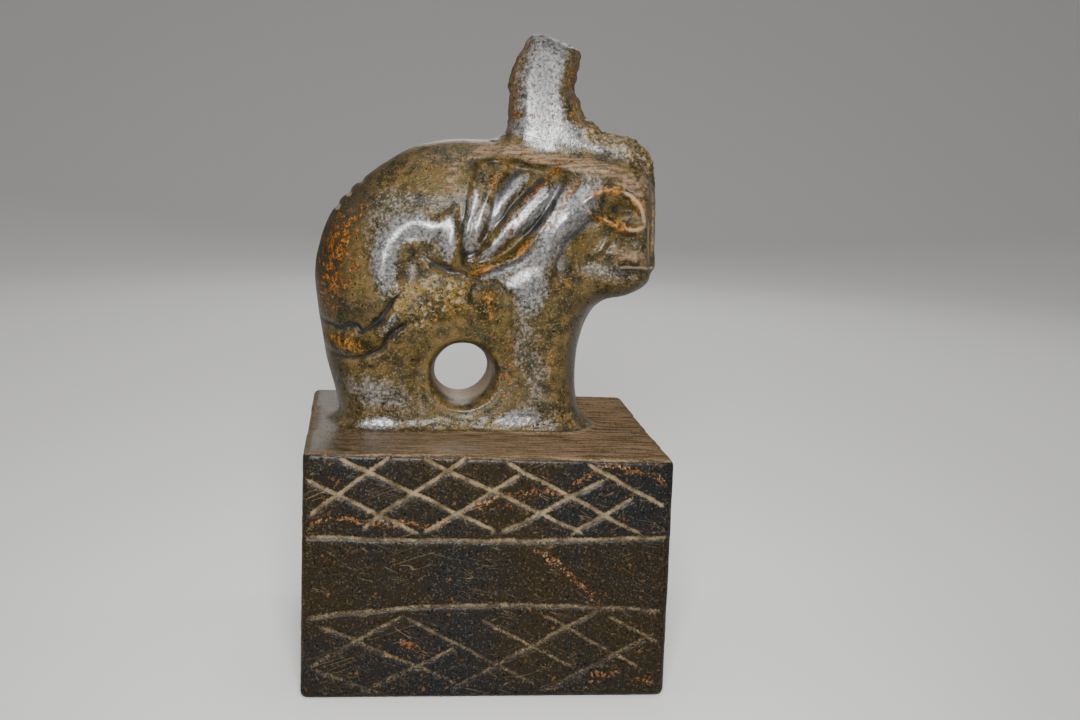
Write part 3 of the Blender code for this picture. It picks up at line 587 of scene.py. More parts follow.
# Each part of the stone: its first colour, then each one laid over it with its mask and strength
COLOURS = {
    "olive": (OLIVE_DARK, (OLIVE, "olive spots", 1.0), (OLIVE_BROWN, "brown spots", 1.0),
              (PALE_GRAIN, "pale specks", 0.6), (BLACK_GRAIN, "dark specks", 0.8)),
    # Grey lightened as painted sheen
    "grey_sheen": (SHEEN_GREY_DARK, (SHEEN_GREY, "grey_sheen grain", 1.0), (SHEEN_GREY_PALE, "pale specks", 0.5),
              (BLACK_GRAIN, "dark specks", 0.7)),
    "earth": (EARTH_DARK, (EARTH, "earth grain", 1.0), (EARTH_RED, "red streaks", 0.5),
              (EARTH_DARK, "earth pits", 0.4)),
    "ochre": (OCHRE_DARK, (OCHRE, "ochre grain", 1.0), (OCHRE_DARK, "ochre pits", 0.7)),
    "rust": (RUST_DARK, (RUST, "rust grain", 1.0), (RUST_PALE, "rust glints", 0.5)),
    "patch": (PATCH_DARK, (PATCH_BROWN, "patch grain", 1.0), (PATCH_YELLOW, "yellow specks", 1.0),
              (PATCH_PALE, "patch wisps", 0.5), (BLACK_GRAIN, "dark specks", 0.8)),
    "vein": (SHADE, (VEIN_RUST, "vein grain", 1.0), (VEIN_PALE, "pale specks", 0.9)),
    "cut": (CUT_BROWN, (CUT_TAN, "cut spots", 1.0)),
    # The figure: the patina, with painted grey sheen, painted shade and painted highlights laid over the
    # olive
    "figure": ("olive", ("grey_sheen", "grey_sheen share", 1.0), ("earth", "earth share", 1.0),
               (SHADE, "shade share", 0.85), ("ochre", "ochre share", 1.0), ("rust", "rust share", 1.0),
               ("patch", "patch share", 1.0), (CREASE_SHADE, "painted crease shade", 0.9), (BARE_AND_HIGHLIGHT, "bare_and_highlights spots", 0.65)),
    "side": (BLOCK_BLUE, (BLOCK_OLIVE, "olive clouds", 1.0), (BLOCK_PALE, "pale specks", 0.7),
             (BLACK_GRAIN, "dark specks", 0.5), (FLECK, "flecks", 1.0), (SCRATCH, "scratched", 1.0),
             ("vein", "vein share", 1.0), ("earth", "top", 1.0), ("cut", "cut share", 1.0)),
    "whole": ("side", ("figure", "on the figure", 1.0)),
}

# Roughness, gloss and fine relief of the polished stone, and what each value adds to them
POLISH = 0.20
ROUGHNESS = {
    "cut share": 0.30, "earth share": 0.14, "patch share": 0.26, "rust share": 0.12, "ochre share": 0.16,
    "bare_and_highlights": 0.3, "painted crease shade": 0.06, "fine": 0.12, "finest": 0.16, "dull": 0.2,
}
PLAIN_GLOSS = 0.13
GLOSS = {
    "sheen": 1.0, "dark specks": -0.3, "dull": -0.3, "cut share": -0.2, "earth share": -0.15,
    "rust share": -0.15, "figure": 0.17,
}
BUMP_DEPTH = 0.05 * MM
RELIEF = {
    "finest": 0.8, "light grain": 0.16, "fine": 0.8, "streaks": 0.3, "patch lumps": 5.0, "rust lumps": 1.5,
    "cut lumps": 1.2, "scratches": -0.35,
}

# Camera: its turn, pitch and roll in degrees, its place, and its sensor and lens in millimetres
CAMERA_ANGLES = (6.517, 9.253, 1.983)
CAMERA_PLACE = (-30.4 * MM, -401.7 * MM, 142.4 * MM)
CAMERA_SENSOR = 36.0
CAMERA_LENS = 52.2
CAMERA_NEAR = 10.0 * MM

# Floor, and lights: power in watts, size, spread in degrees, and place
FLOOR_COLOUR = (0.84, 0.83, 0.81, 1.0)
FLOOR_ROUGHNESS = 0.8
FLOOR_RADIUS = 0.9
FLOOR_CURVE = 0.7
FLOOR_CURVE_STEPS = 16
FLOOR_STEPS = 96
FLOOR_GAP = 0.02 * MM
LIGHT_TARGET = (0.0, 0.0, 0.09)
LIGHTS = {
    "key": (0.54, 0.11, 60.0, (-0.03, -0.42, 0.25)),
    "left fill": (0.8, 0.40, 180.0, (-0.75, 0.10, 0.45)),
    "right fill": (0.8, 0.40, 180.0, (0.75, 0.20, 0.45)),
    "back fill": (1.6, 0.40, 180.0, (0.10, 0.80, 0.50)),
    "top": (2.3, 0.60, 180.0, (0.0, 0.0, 0.95)),
}
SURROUND = 0.2
SURROUND_COLOUR = (1.0, 1.0, 1.0, 1.0)


def smooth_line(points, closed=False):
    """Points along a Catmull-Rom curve through the given ones."""
    knots = np.array(points, dtype=float)
    if closed:
        knots = np.vstack((knots[-1], knots, knots[:2]))
    else:
        knots = np.vstack((2 * knots[0] - knots[1], knots, 2 * knots[-1] - knots[-2]))
    shares = np.linspace(0.0, 1.0, CURVE_STEPS, endpoint=False)[:, None]
    line = []
    for before, start, end, after in zip(knots, knots[1:], knots[2:], knots[3:]):
        bend = 2 * before - 5 * start + 4 * end - after
        twist = 3 * start - before - 3 * end + after
        line.append(start + 0.5 * shares * ((end - before) + shares * (bend + shares * twist)))
    if not closed:
        line.append(knots[-2][None])
    return np.vstack(line)


def ring(centre, radius):
    """Points round a circle."""
    turns = np.linspace(0.0, 2.0 * math.pi, RING_STEPS, endpoint=False)
    return np.array(centre) + radius * np.column_stack((np.cos(turns), np.sin(turns)))


def nearest_on_line(places, line):
    """How far each flat place is from a line of points, and how far along it from its two ends."""
    nearest = np.full(len(places), np.inf)
    along = np.zeros(len(places))
    lengths = np.hypot(*np.diff(line, axis=0).T)
    starts = np.concatenate(((0.0,), np.cumsum(lengths)))
    for start, end, length, before in zip(line[:-1], line[1:], lengths, starts):
        run = end - start
        share = np.clip((places - start) @ run / max(run @ run, TINY), 0.0, 1.0)
        gap = np.hypot(*(places - start - share[:, None] * run).T)
        closer = gap < nearest
        nearest[closer] = gap[closer]
        along[closer] = before + share[closer] * length
    return nearest, (along, starts[-1] - along)


def distance_to_outline(places, outline):
    """Shortest distance from each flat place to a closed outline."""
    return nearest_on_line(places, np.vstack((outline, outline[:1])))[0]


def stroke_weight(places, points, half_width, shape=STROKE_SHAPE):
    """1 on a line, falling to 0 at the half-width, narrower at its ends; the shape gives crown and foot."""
    line = smooth_line(points) if len(points) > 2 else np.array(points)
    crown, foot = shape
    low = line.min(axis=0) - half_width
    high = line.max(axis=0) + half_width
    close = np.all((places > low) & (places < high), axis=1)
    weight = np.zeros(len(places))
    away, along = nearest_on_line(places[close], line)
    from_end = np.clip(np.minimum(along[0], along[1]) / (TAPER_LENGTH * half_width), 0.0, 1.0)
    fullness = TAPER_END + (1.0 - TAPER_END) * np.sin(from_end * math.pi / 2.0)
    away = np.minimum(away / (half_width * fullness), 1.0)
    weight[close] = (1.0 - away ** crown) ** foot * fullness
    return weight


def inside(places, outline):
    """True for each flat place within a closed outline."""
    within = np.zeros(len(places), dtype=bool)
    for (x0, z0), (x1, z1) in zip(outline, np.roll(outline, -1, axis=0)):
        spans = (z0 > places[:, 1]) != (z1 > places[:, 1])
        rise = z1 - z0 if z1 != z0 else 1.0
        crossing = x0 + (places[:, 1] - z0) * (x1 - x0) / rise
        within ^= spans & (places[:, 0] < crossing)
    return within


def area_weight(places, outline, edge):
    """1 well inside a closed outline, falling to 0 at its edge."""
    return np.clip(distance_to_outline(places, outline) / edge, 0.0, 1.0) * inside(places, outline)


def waves(places, length, seed, where):
    """Smooth noise between about -1 and 1, another one for each seed, and zero where it isn't asked for."""
    result = np.zeros(len(places))
    chosen = np.flatnonzero(where)
    points = places[chosen] / length + seed * np.array(SEED_STEP)
    result[chosen] = [noise.noise(point) for point in points.tolist()]
    return result


def rolling(places, wave, where):
    """How far a wave lifts each place."""
    length, height, seed = wave
    return height * waves(places, length, seed, where)


def astray(places, waver, where):
    """How far a waver moves each place in side view, both ways."""
    length, height, seeds = waver
    return height * np.column_stack([waves(places, length, seed, where) for seed in seeds])


def blended(places, named_places):
    """Half-width and edge rounding at each place, blended from the named ones around it."""
    table = np.array(list(named_places.values()))
    apart = np.hypot(places[:, :1] - table[:, 0], places[:, 1:] - table[:, 1])
    nearest = apart.min(axis=1, keepdims=True)
    weight = np.exp((nearest ** 2 - apart ** 2) / (2.0 * PLACE_REACH ** 2))
    weight /= weight.sum(axis=1, keepdims=True)
    return weight @ table[:, 2], weight @ table[:, 3]


def vertex_places(mesh):
    """Vertex coordinates in hundredths of the figure's height, measured from the block's top."""
    places = np.empty(3 * len(mesh.vertices), dtype=np.float32)
    mesh.vertices.foreach_get("co", places)
    places = places.reshape(-1, 3).astype(float)
    places[:, 2] -= BLOCK_HEIGHT
    return places / PERCENT


def set_vertex_places(mesh, places):
    """Put the vertices back in metres."""
    metres = places * PERCENT
    metres[:, 2] += BLOCK_HEIGHT
    mesh.vertices.foreach_set("co", metres.ravel())
    mesh.update()


def vertex_normals(mesh):
    """Vertex normals as an array."""
    normals = np.empty(3 * len(mesh.vertices), dtype=np.float32)
    mesh.vertices.foreach_get("normal", normals)
    return normals.reshape(-1, 3).astype(float)


def edge_ends(mesh):
    """The two vertices of every edge."""
    ends = np.empty(2 * len(mesh.edges), dtype=np.int32)
    mesh.edges.foreach_get("vertices", ends)
    return ends.reshape(-1, 2)


def neighbour_mean(values, ends):
    """The mean of each vertex's neighbours, column by column."""
    here = np.concatenate((ends[:, 0], ends[:, 1]))
    there = np.concatenate((ends[:, 1], ends[:, 0]))
    links = np.maximum(np.bincount(here, minlength=len(values)), 1)
    means = [np.bincount(here, weights=column[there], minlength=len(values)) / links for column in values.T]
    return np.column_stack(means)


def smooth_skin(mesh, times, share=1.0):
    """Smooth the vertices, each by its share."""
    places = vertex_places(mesh)
    ends = edge_ends(mesh)
    share = np.broadcast_to(share, len(places))[:, None] * SMOOTHING
    for _ in range(times):
        places += share * (neighbour_mean(places, ends) - places)
    set_vertex_places(mesh, places)


def add_object(name, data):
    """An object in the scene."""
    added = bpy.data.objects.new(name, data)
    bpy.context.scene.collection.objects.link(added)
    return added


def applied(source):
    """The object as a plain mesh, its modifiers and transform carried out; the source goes."""
    bpy.context.view_layer.update()
    evaluated = source.evaluated_get(bpy.context.evaluated_depsgraph_get())
    mesh = bpy.data.meshes.new_from_object(evaluated)
    mesh.transform(source.matrix_world)
    name = source.name
    bpy.data.objects.remove(source, do_unlink=True)
    return add_object(name, mesh)


def remeshed(source, cell):
    """The object as one even skin of small cells."""
    skin = source.modifiers.new("skin", "REMESH")
    skin.mode = "VOXEL"
    skin.voxel_size = cell
    return applied(source)


def weld(mesh):
    """Close the seam between a curve's caps and its sides."""
    work = bmesh.new()
    work.from_mesh(mesh)
    bmesh.ops.remove_doubles(work, verts=work.verts, dist=WELD_DISTANCE)
    work.to_mesh(mesh)
    work.free()


def rounded_slab(name, outlines, named_places):
    """A slab cut to its side outlines, taken in to its widths and rounded at the edges."""
    widest = max(place[2] for place in named_places.values())
    curve = bpy.data.curves.new(name, "CURVE")
    curve.dimensions = "2D"
    curve.fill_mode = "BOTH"
    curve.extrude = widest * PERCENT
    for outline in outlines:
        spline = curve.splines.new("POLY")
        spline.points.add(len(outline) - 1)
        spline.use_cyclic_u = True
        for point, (x, z) in zip(spline.points, outline):
            point.co = (x * PERCENT, BLOCK_HEIGHT + z * PERCENT, 0.0, 1.0)
    flat = add_object(name, curve)
    flat.rotation_euler.x = math.radians(90.0)
    flat = applied(flat)
    weld(flat.data)
    slab = remeshed(flat, CELL)

    places = vertex_places(slab.data)
    side_view = places[:, (0, 2)]
    half_width, rounding = blended(side_view, named_places)
    fullness = np.ones(len(places))
    for number, outline in enumerate(outlines):
        from_edge = distance_to_outline(side_view, outline)
        reach = rounding if number == 0 else HOLE_RIM_ROUND
        share = np.clip(from_edge / reach, 0.0, 1.0)
        fullness = np.minimum(fullness, np.sqrt(1.0 - (1.0 - share) ** 2))
    places[:, 1] *= fullness * half_width / widest
    set_vertex_places(slab.data, places)
    return slab


def block():
    """The plain block, its top falling a little towards the elephant's front."""
    mesh = bpy.data.meshes.new("block")
    work = bmesh.new()
    bmesh.ops.create_cube(work, size=1.0)
    for corner in work.verts:
        corner.co.x *= BLOCK_LENGTH
        corner.co.y *= BLOCK_DEPTH
        top = corner.co.z > 0.0
        corner.co.z = BLOCK_HEIGHT - BLOCK_TOP_FALL * corner.co.x / BLOCK_LENGTH if top else 0.0
    work.to_mesh(mesh)
    work.free()
    plain = add_object("block", mesh)
    edges = plain.modifiers.new("rounded edges", "BEVEL")
    edges.width = BLOCK_EDGE_ROUND
    edges.segments = BLOCK_EDGE_SEGMENTS
    return applied(plain)


def joined(pieces, name):
    """Several overlapping pieces as one skin."""
    work = bmesh.new()
    for piece in pieces:
        work.from_mesh(piece.data)
        bpy.data.objects.remove(piece, do_unlink=True)
    mesh = bpy.data.meshes.new(name)
    work.to_mesh(mesh)
    work.free()
    return remeshed(add_object(name, mesh), CELL)


def fillet_share(places):
    """How much each vertex is smoothed: most where the trunk leaves the head and the feet the block."""
    side = np.abs(places[:, 1])
    half_width, points = HEAD_FILLET
    head = stroke_weight(places[:, (0, 2)], points, half_width)
    head *= np.clip((side - HEAD_FILLET_FROM) / HEAD_FILLET_FADE, 0.0, 1.0)
    head *= np.clip((HEAD_FILLET_TO - side) / HEAD_FILLET_FADE, 0.0, 1.0)
    middle, reach = FOOT_FILLET
    foot = np.clip(1.0 - np.abs(places[:, 2] - middle) / reach, 0.0, 1.0) * (side < FOOT_FILLET_TO)
    return np.maximum(head, foot)


def wavered(places):
    """The side view of each vertex, a little astray, so that strokes look cut by hand."""
    return places[:, (0, 2)] + astray(places, STROKE_WAVER, places[:, 2] > -BLOCK_TOP_MARGIN)


def crags(places, where):
    """Small sharp lumps and pits on a rough place."""
    hills, pits = (np.abs(waves(places, ROUGH_GRAIN, seed, where)) for seed in ROUGH_SEEDS)
    return rolling(places, ROUGH_LUMP, where) + (hills - pits)


def carve_flanks(mesh):
    """Sink the ear panels, spread the feet and cut or raise every stroke, alike on both flanks."""
    places = vertex_places(mesh)
    side_view = places[:, (0, 2)]
    facing = vertex_normals(mesh)[:, 1]
    drawn = wavered(places)
    inward = EAR_PANEL_DEPTH * area_weight(drawn, smooth_line(EAR_PANEL, closed=True), EAR_PANEL_WALL)
    for strokes, shape in ((FLUTES, FLUTE_SHAPE), (VALLEYS, VALLEY_SHAPE), (FLANK_STROKES, STROKE_SHAPE)):
        for depth, half_width, points in strokes.values():
            inward += depth * stroke_weight(drawn, points, half_width, shape)
    from_hole = np.hypot(*(side_view - HOLE_CENTRE).T)
    for radius in RING_RADII:
        inward += RING_DEPTH * np.clip(1.0 - np.abs(from_hole - radius) / RING_HALF_WIDTH, 0.0, 1.0)
    inward *= places[:, 2] > FIGURE_FROM
    low = np.clip(1.0 - places[:, 2] / FOOT_FLARE_HEIGHT, 0.0, 1.0)
    on_figure = (np.abs(places[:, 1]) < FIGURE_REACH) & (places[:, 2] > FLARE_FROM)
    uneven = 1.0 + rolling(places, FOOT_WAVE, on_figure & (low > 0.0))
    inward -= FOOT_FLARE * low ** 2 * on_figure * uneven
    places[:, 1] -= facing * inward
    set_vertex_places(mesh, places)


def roughen_figure(mesh):
    """The rough patch, the lumpy edges of the trunk, the nicks on the spine and the uneven skin."""
    places = vertex_places(mesh)
    normals = vertex_normals(mesh)
    side_view = places[:, (0, 2)]
    on_figure = places[:, 2] > FIGURE_FROM
    outward = rolling(places, SLOW_WAVE, on_figure) + rolling(places, QUICK_WAVE, on_figure)

    for width, rise, lump, _, outline in ROUGH_AREAS.values():
        share = area_weight(side_view, smooth_line(outline, closed=True), width)
        outward += share * (rise + lump * crags(places, share > 0.0))

    edge = stroke_weight(side_view, TRUNK_OUTLINE[:-TRUNK_SUNK], TRUNK_EDGE_BAND)
    edge *= places[:, 2] > TRUNK_FROM
    outward += edge * rolling(places, TRUNK_LUMP, edge > 0.0)

    for x, z in SPINE_NICKS:
        apart = np.hypot(places[:, 0] - x, places[:, 2] - z)
        reach = np.clip(1.0 - np.abs(places[:, 1]) / NICK_REACH, 0.0, 1.0)
        outward -= NICK_DEPTH * np.clip(1.0 - (apart / NICK_RADIUS) ** 2, 0.0, 1.0) * np.sqrt(reach)
    places += normals * (outward * on_figure)[:, None]
    set_vertex_places(mesh, places)


def plain_lines(length):
    """The level lines and a sparse regular lattice for a hidden side of the block."""
    limit = length / 2.0 - PLAIN_MARGIN
    lines = [((-limit, height), (limit, height)) for height in PLAIN_LEVELS]
    count = max(1, round(length / PLAIN_SPACING))
    for number in range(count):
        crossing = (number - (count - 1) / 2.0) * length / count
        for low, high in (UPPER_BAND, LOWER_BAND):
            half_run = (high - low) / 2.0 / math.tan(PLAIN_LEAN)
            full = (crossing - half_run, crossing + half_run)
            kept = np.clip(full, -limit, limit)
            for heights in ((low, high), (high, low)):
                lines.append(tuple(zip(kept, np.interp(kept, full, heights))))
    return lines


def face_views(places):
    """Each side of the block in turn: its turn, lines, and each vertex seen flat on it, in millimetres."""
    millimetres = places * PERCENT / MM
    millimetres[:, 2] += BLOCK_HEIGHT / MM
    for side in range(4):
        turn = side * math.pi / 2.0
        length, depth = (BLOCK_LENGTH, BLOCK_DEPTH) if side % 2 == 0 else (BLOCK_DEPTH, BLOCK_LENGTH)
        along = millimetres[:, 0] * math.cos(turn) + millimetres[:, 1] * math.sin(turn)
        behind = millimetres[:, 1] * math.cos(turn) - millimetres[:, 0] * math.sin(turn)
        sunk = behind + depth / MM / 2.0
        flat = np.column_stack((along, millimetres[:, 2]))
        on_side = (sunk < FACE_REACH) & (millimetres[:, 2] < BLOCK_HEIGHT / MM + FACE_TOP_MARGIN)
        flat += astray(millimetres, LINE_WAVER, on_side)
        lines = LEVEL_LINES + FRONT_LINES if side == 0 else plain_lines(length / MM)
        yield turn, lines, flat, on_side


def line_weights(places):
    """How deep in a cut line and in a rusty vein each vertex lies, and the way into its side."""
    cut = np.zeros(len(places))
    vein = np.zeros(len(places))
    inward = np.zeros((len(places), 3))
    for turn, lines, flat, on_side in face_views(places):
        here = np.zeros(len(places))
        for points in lines:
            here = np.maximum(here, stroke_weight(flat, points, LINE_HALF_WIDTH, LINE_SHAPE) * on_side)
        if turn == 0.0:
            bent = flat + astray(places, VEIN_WAVER, on_side)
            for points in VEINS:
                vein = np.maximum(vein, stroke_weight(bent, points, VEIN_HALF_WIDTH) * on_side)
        cut = np.maximum(cut, here)
        inward += here[:, None] * np.array((-math.sin(turn), math.cos(turn), 0.0))
    return cut, vein, inward


def carve_block(mesh):
    """Cut the lines, raise the veins and wear the edges."""
    places = vertex_places(mesh)
    normals = vertex_normals(mesh)
    cut, vein, inward = line_weights(places)
    on_block = places[:, 2] < BLOCK_TOP_MARGIN
    scale = MM / PERCENT
    outward = rolling(places, BLOCK_WAVE, on_block) + vein * rolling(places, VEIN_LUMP, vein > 0.0)
    from_faces = np.sort(np.column_stack((
        BLOCK_LENGTH / PERCENT / 2.0 - np.abs(places[:, 0]),
        BLOCK_DEPTH / PERCENT / 2.0 - np.abs(places[:, 1]),
        np.minimum(-places[:, 2], places[:, 2] + BLOCK_HEIGHT / PERCENT),
    )), axis=1)
    edge = np.clip(1.0 - from_faces[:, 1] / EDGE_BAND, 0.0, 1.0) * on_block
    worn = np.clip(0.5 + places[:, 0] * PERCENT / BLOCK_LENGTH, LEAST_WEAR, 1.0)
    chips = np.maximum(rolling(places, EDGE_CHIP, edge > 0.0), 0.0)
    nibbles = np.abs(rolling(places, EDGE_NIBBLE, edge > 0.0))
    outward -= edge * worn * (chips + nibbles)
    above_foot = places[:, 2] + BLOCK_HEIGHT / PERCENT > FOOT_MARGIN
    places += normals * (outward * scale * on_block * above_foot)[:, None] + LINE_DEPTH * scale * inward
    set_vertex_places(mesh, places)


def lightened(piece):
    """The piece with fewer triangles where it is flat."""
    count = sum(len(face.vertices) - 2 for face in piece.data.polygons)
    lighter = piece.modifiers.new("lighter", "DECIMATE")
    lighter.ratio = min(1.0, TRIANGLES / count)
    return applied(piece)


def carved_stone():
    """The whole carving."""
    bore = ring(HOLE_CENTRE, HOLE_RADIUS)
    body = rounded_slab("body", [smooth_line(BODY_OUTLINE, closed=True), bore], BODY_PLACES)
    trunk = rounded_slab("trunk", [smooth_line(TRUNK_OUTLINE, closed=True)], TRUNK_PLACES)
    stone = joined([body, trunk, block()], "carved_stone")
    smooth_skin(stone.data, SKIN_PASSES)
    carve_flanks(stone.data)
    smooth_skin(stone.data, FILLET_PASSES, fillet_share(vertex_places(stone.data)))
    carve_block(stone.data)
    roughen_figure(stone.data)
    smooth_skin(stone.data, LAST_PASSES)
    stone = lightened(stone)
    stone.data.shade_smooth()
    return stone


def hollowness(mesh):
    """How hollow the skin is at each vertex, from -1 on a ridge to 1 in a crease."""
    places = vertex_places(mesh)
    ends = edge_ends(mesh)
    apart = neighbour_mean(places, ends) - places
    spacing = np.linalg.norm(places[ends[:, 0]] - places[ends[:, 1]], axis=1)
    count = len(places)
    here = np.concatenate((ends[:, 0], ends[:, 1]))
    total_spacing = np.bincount(here, np.concatenate((spacing, spacing)), count)
    mean_spacing = total_spacing / np.bincount(here, minlength=count)
    bend = np.sum(apart * vertex_normals(mesh), axis=1) / np.maximum(mean_spacing, LEAST_SPACING) ** 2
    bend = bend[:, None]
    for _ in range(HOLLOW_PASSES):
        bend = 0.5 * bend + 0.5 * neighbour_mean(bend, ends)
    return np.clip(bend[:, 0] * HOLLOW_GAIN, -1.0, 1.0)


def strongest(side_view, areas):
    """The strongest of several painted strokes at each vertex."""
    strength = np.zeros(len(side_view))
    for amount, half_width, points in areas.values():
        strength = np.maximum(strength, amount * stroke_weight(side_view, points, half_width, PAINT_SHAPE))
    return strength


def paint(mesh):
    """Store on the vertices where each colour of the stone lies, the painted sheen, shade and highlights
    among them.
    """
    places = vertex_places(mesh)
    normals = vertex_normals(mesh)
    side_view = wavered(places)
    cut, vein, _ = line_weights(places)
    figure = np.clip((places[:, 2] - FIGURE_FADE[0]) / FIGURE_FADE[1], 0.0, 1.0)
    grooves = {}
    # Painted shade inside the carved strokes, in the pits and along the ear panel's edge
    for name, amount in SHADED_STROKES.items():
        _, half_width, points = FLANK_STROKES[name]
        grooves[name] = (amount, STROKE_SHADE_WIDTH * half_width, points)
    dark = np.maximum(strongest(side_view, CREASE_SHADE_AREAS), strongest(side_view, grooves))
    beside = distance_to_outline(side_view, smooth_line(EAR_PANEL, closed=True)) / PANEL_EDGE_WIDTH
    dark = np.maximum(dark, PANEL_EDGE_SHADE * np.clip(1.0 - beside ** 2, 0.0, 1.0))
    rough = np.zeros(len(places))
    for width, _, _, yellow, outline in ROUGH_AREAS.values():
        rough = np.maximum(rough, yellow * area_weight(side_view, smooth_line(outline, closed=True), width))
    from_hole = np.hypot(*(places[:, (0, 2)] - HOLE_CENTRE).T)
    nicks = np.zeros(len(places))
    for x, z in SPINE_NICKS:
        nick = np.clip(1.0 - np.hypot(places[:, 0] - x, places[:, 2] - z) / NICK_RADIUS, 0.0, 1.0)
        nicks = np.maximum(nicks, nick * (np.abs(places[:, 1]) < NICK_REACH))
    bare_and_highlights = np.maximum(nicks, np.clip(HOLE_RADIUS + HOLE_BARE - from_hole, 0.0, 1.0))
    # painted highlights join the bare nicks and the hole's bare rim
    bare_and_highlights = np.maximum(bare_and_highlights, strongest(side_view, PAINTED_HIGHLIGHTS))
    top = np.clip(normals[:, 2] * TOP_FACING[0] - TOP_FACING[1], 0.0, 1.0) * (1.0 - figure)
    below_top = np.clip(places[:, 2] * PERCENT / BLOCK_HEIGHT, -1.0, 0.0)
    layers = {
        "figure": figure,
        "rust": strongest(side_view, RUST_AREAS) * figure,
        "ochre": strongest(side_view, OCHRE_AREAS) * figure,
        "earth": np.maximum(strongest(side_view, EARTH_AREAS) * figure, top),
        # grey laid as painted sheen where the highlights fall
        "grey_sheen": strongest(side_view, GREY_SHEEN_AREAS) * figure,
        "dark": dark * figure,
        "shade": strongest(side_view, SHADE_AREAS) * figure,
        "dull": strongest(side_view, DULL_AREAS) * figure,
        "patch": rough * figure,
        "bare_and_highlights": bare_and_highlights * figure,
        "cut": cut * (1.0 + (1.0 - FAINTEST_LINE) * below_top),
        "vein": vein,
        # how hollow the skin is, for the painted shade in its creases
        "hollow": hollowness(mesh),
    }
    for name, values in layers.items():
        layer = mesh.attributes.new(name, "FLOAT", "POINT")
        layer.data.foreach_set("value", values.astype(np.float32))


class Recipe:
    """The nodes of one material, added and linked as they are named."""

    def __init__(self, material):
        self.nodes = material.node_tree.nodes
        self.links = material.node_tree.links
        self.place = self.nodes.new("ShaderNodeTexCoord").outputs["Object"]

    def put(self, socket, value):
        """Link a value that is another node's output, or set a plain one."""
        if isinstance(value, bpy.types.NodeSocket):
            self.links.new(value, socket)
        elif isinstance(value, tuple) and len(socket.default_value) == 4:
            socket.default_value = (*value, 1.0)
        else:
            socket.default_value = value

    def layer(self, name):
        """A value stored on the vertices."""
        node = self.nodes.new("ShaderNodeAttribute")
        node.attribute_name = name
        return node.outputs["Fac"]

    def calc(self, operation, first, second=0.0):
        """Two values put together."""
        node = self.nodes.new("ShaderNodeMath")
        node.operation = operation
        self.put(node.inputs[0], first)
        self.put(node.inputs[1], second)
        return node.outputs[0]

    def total(self, *parts):
        """A sum of values, each times its weight."""
        result = 0.0
        for value, weight in parts:
            result = self.calc("ADD", result, self.calc("MULTIPLY", value, weight))
        return result

    def product(self, first, *others):
        """Several values multiplied."""
        for other in others:
            first = self.calc("MULTIPLY", first, other)
        return first

    def rise(self, value, low, high):
        """0 at the low value, 1 at the high one, smooth between."""
        node = self.nodes.new("ShaderNodeMapRange")
        node.interpolation_type = "SMOOTHSTEP"
        self.put(node.inputs["Value"], value)
        self.put(node.inputs["From Min"], low)
        self.put(node.inputs["From Max"], high)
        return node.outputs["Result"]

    def mix(self, share, first, second):
        """One colour laid over another."""
        node = self.nodes.new("ShaderNodeMix")
        node.data_type = "RGBA"
        self.put(node.inputs[0], share)
        self.put(node.inputs[6], first)
        self.put(node.inputs[7], second)
        return node.outputs[2]

    def stretched(self, turn, stretch):
        """The place turned in side view and drawn out, for streaks."""
        node = self.nodes.new("ShaderNodeMapping")
        node.vector_type = "TEXTURE"
        self.put(node.inputs["Vector"], self.place)
        self.put(node.inputs["Rotation"], (0.0, turn, 0.0))
        self.put(node.inputs["Scale"], (stretch, 1.0, 1.0))
        return node.outputs["Vector"]

    def cloud(self, size, detail, place=None):
        """Soft noise of a size in millimetres."""
        node = self.nodes.new("ShaderNodeTexNoise")
        self.put(node.inputs["Vector"], place or self.place)
        self.put(node.inputs["Scale"], 1.0 / (size * MM))
        self.put(node.inputs["Detail"], detail)
        return node.outputs["Fac"]

    def crystals(self, size):
        """Grains of a size in millimetres: two unlike random values for each grain."""
        node = self.nodes.new("ShaderNodeTexVoronoi")
        self.put(node.inputs["Vector"], self.place)
        self.put(node.inputs["Scale"], 1.0 / (size * MM))
        parts = self.nodes.new("ShaderNodeSeparateColor")
        self.put(parts.inputs[0], node.outputs["Color"])
        return parts.outputs[0], parts.outputs[1]

    def ragged(self, mask, grain, spread, low, high):
        """A mask with its edge broken up by a grain."""
        astray = self.calc("SUBTRACT", grain, MIDDLE_GREY)
        return self.rise(self.total((mask, 1.0), (astray, spread)), low, high)

    def scratches(self, turn, size):
        """Fine scratches in one direction, here and there."""
        line = self.cloud(size, SCRATCH_DETAIL, self.stretched(math.radians(turn), SCRATCH_STRETCH))
        away = self.calc("ABSOLUTE", self.calc("SUBTRACT", line, MIDDLE_GREY))
        near = self.rise(away, SCRATCH_FINENESS, 0.0)
        gap, detail, low, high = SCRATCH_PATCHES
        return self.calc("MULTIPLY", near, self.rise(self.cloud(gap + size, detail), low, high))


def stone_values(recipe):
    """Every layer, noise, blend and mask of the stone under its name."""
    values = {name: recipe.layer(name) for name in LAYERS}
    values |= {name: recipe.cloud(size, detail) for name, (size, detail) in CLOUDS.items()}
    values["streaks"] = recipe.cloud(*STREAK, recipe.stretched(0.0, STREAK_STRETCH))
    values["light grain"], values["dark grain"] = recipe.crystals(GRAIN_SIZE)
    values["big grain"] = recipe.crystals(BIG_GRAIN_SIZE)[0]
    values["polish"] = recipe.calc("SUBTRACT", 1.0, values["dull"])
    values["scratches"] = recipe.total(*((recipe.scratches(turn, size), 1.0) for turn, size in SCRATCHES))
    for name, parts in BLENDS.items():
        values[name] = recipe.total(*((values[part], weight) for part, weight in parts))
    for name, (source, low, high) in MASKS.items():
        values[name] = recipe.rise(values[source], low, high)
    for name, (source, grain, spread, low, high) in RAGGED.items():
        values[name] = recipe.ragged(values[source], values[grain], spread, low, high)
    for name, factors in PRODUCTS.items():
        values[name] = recipe.product(*(values[factor] for factor in factors))
    return values


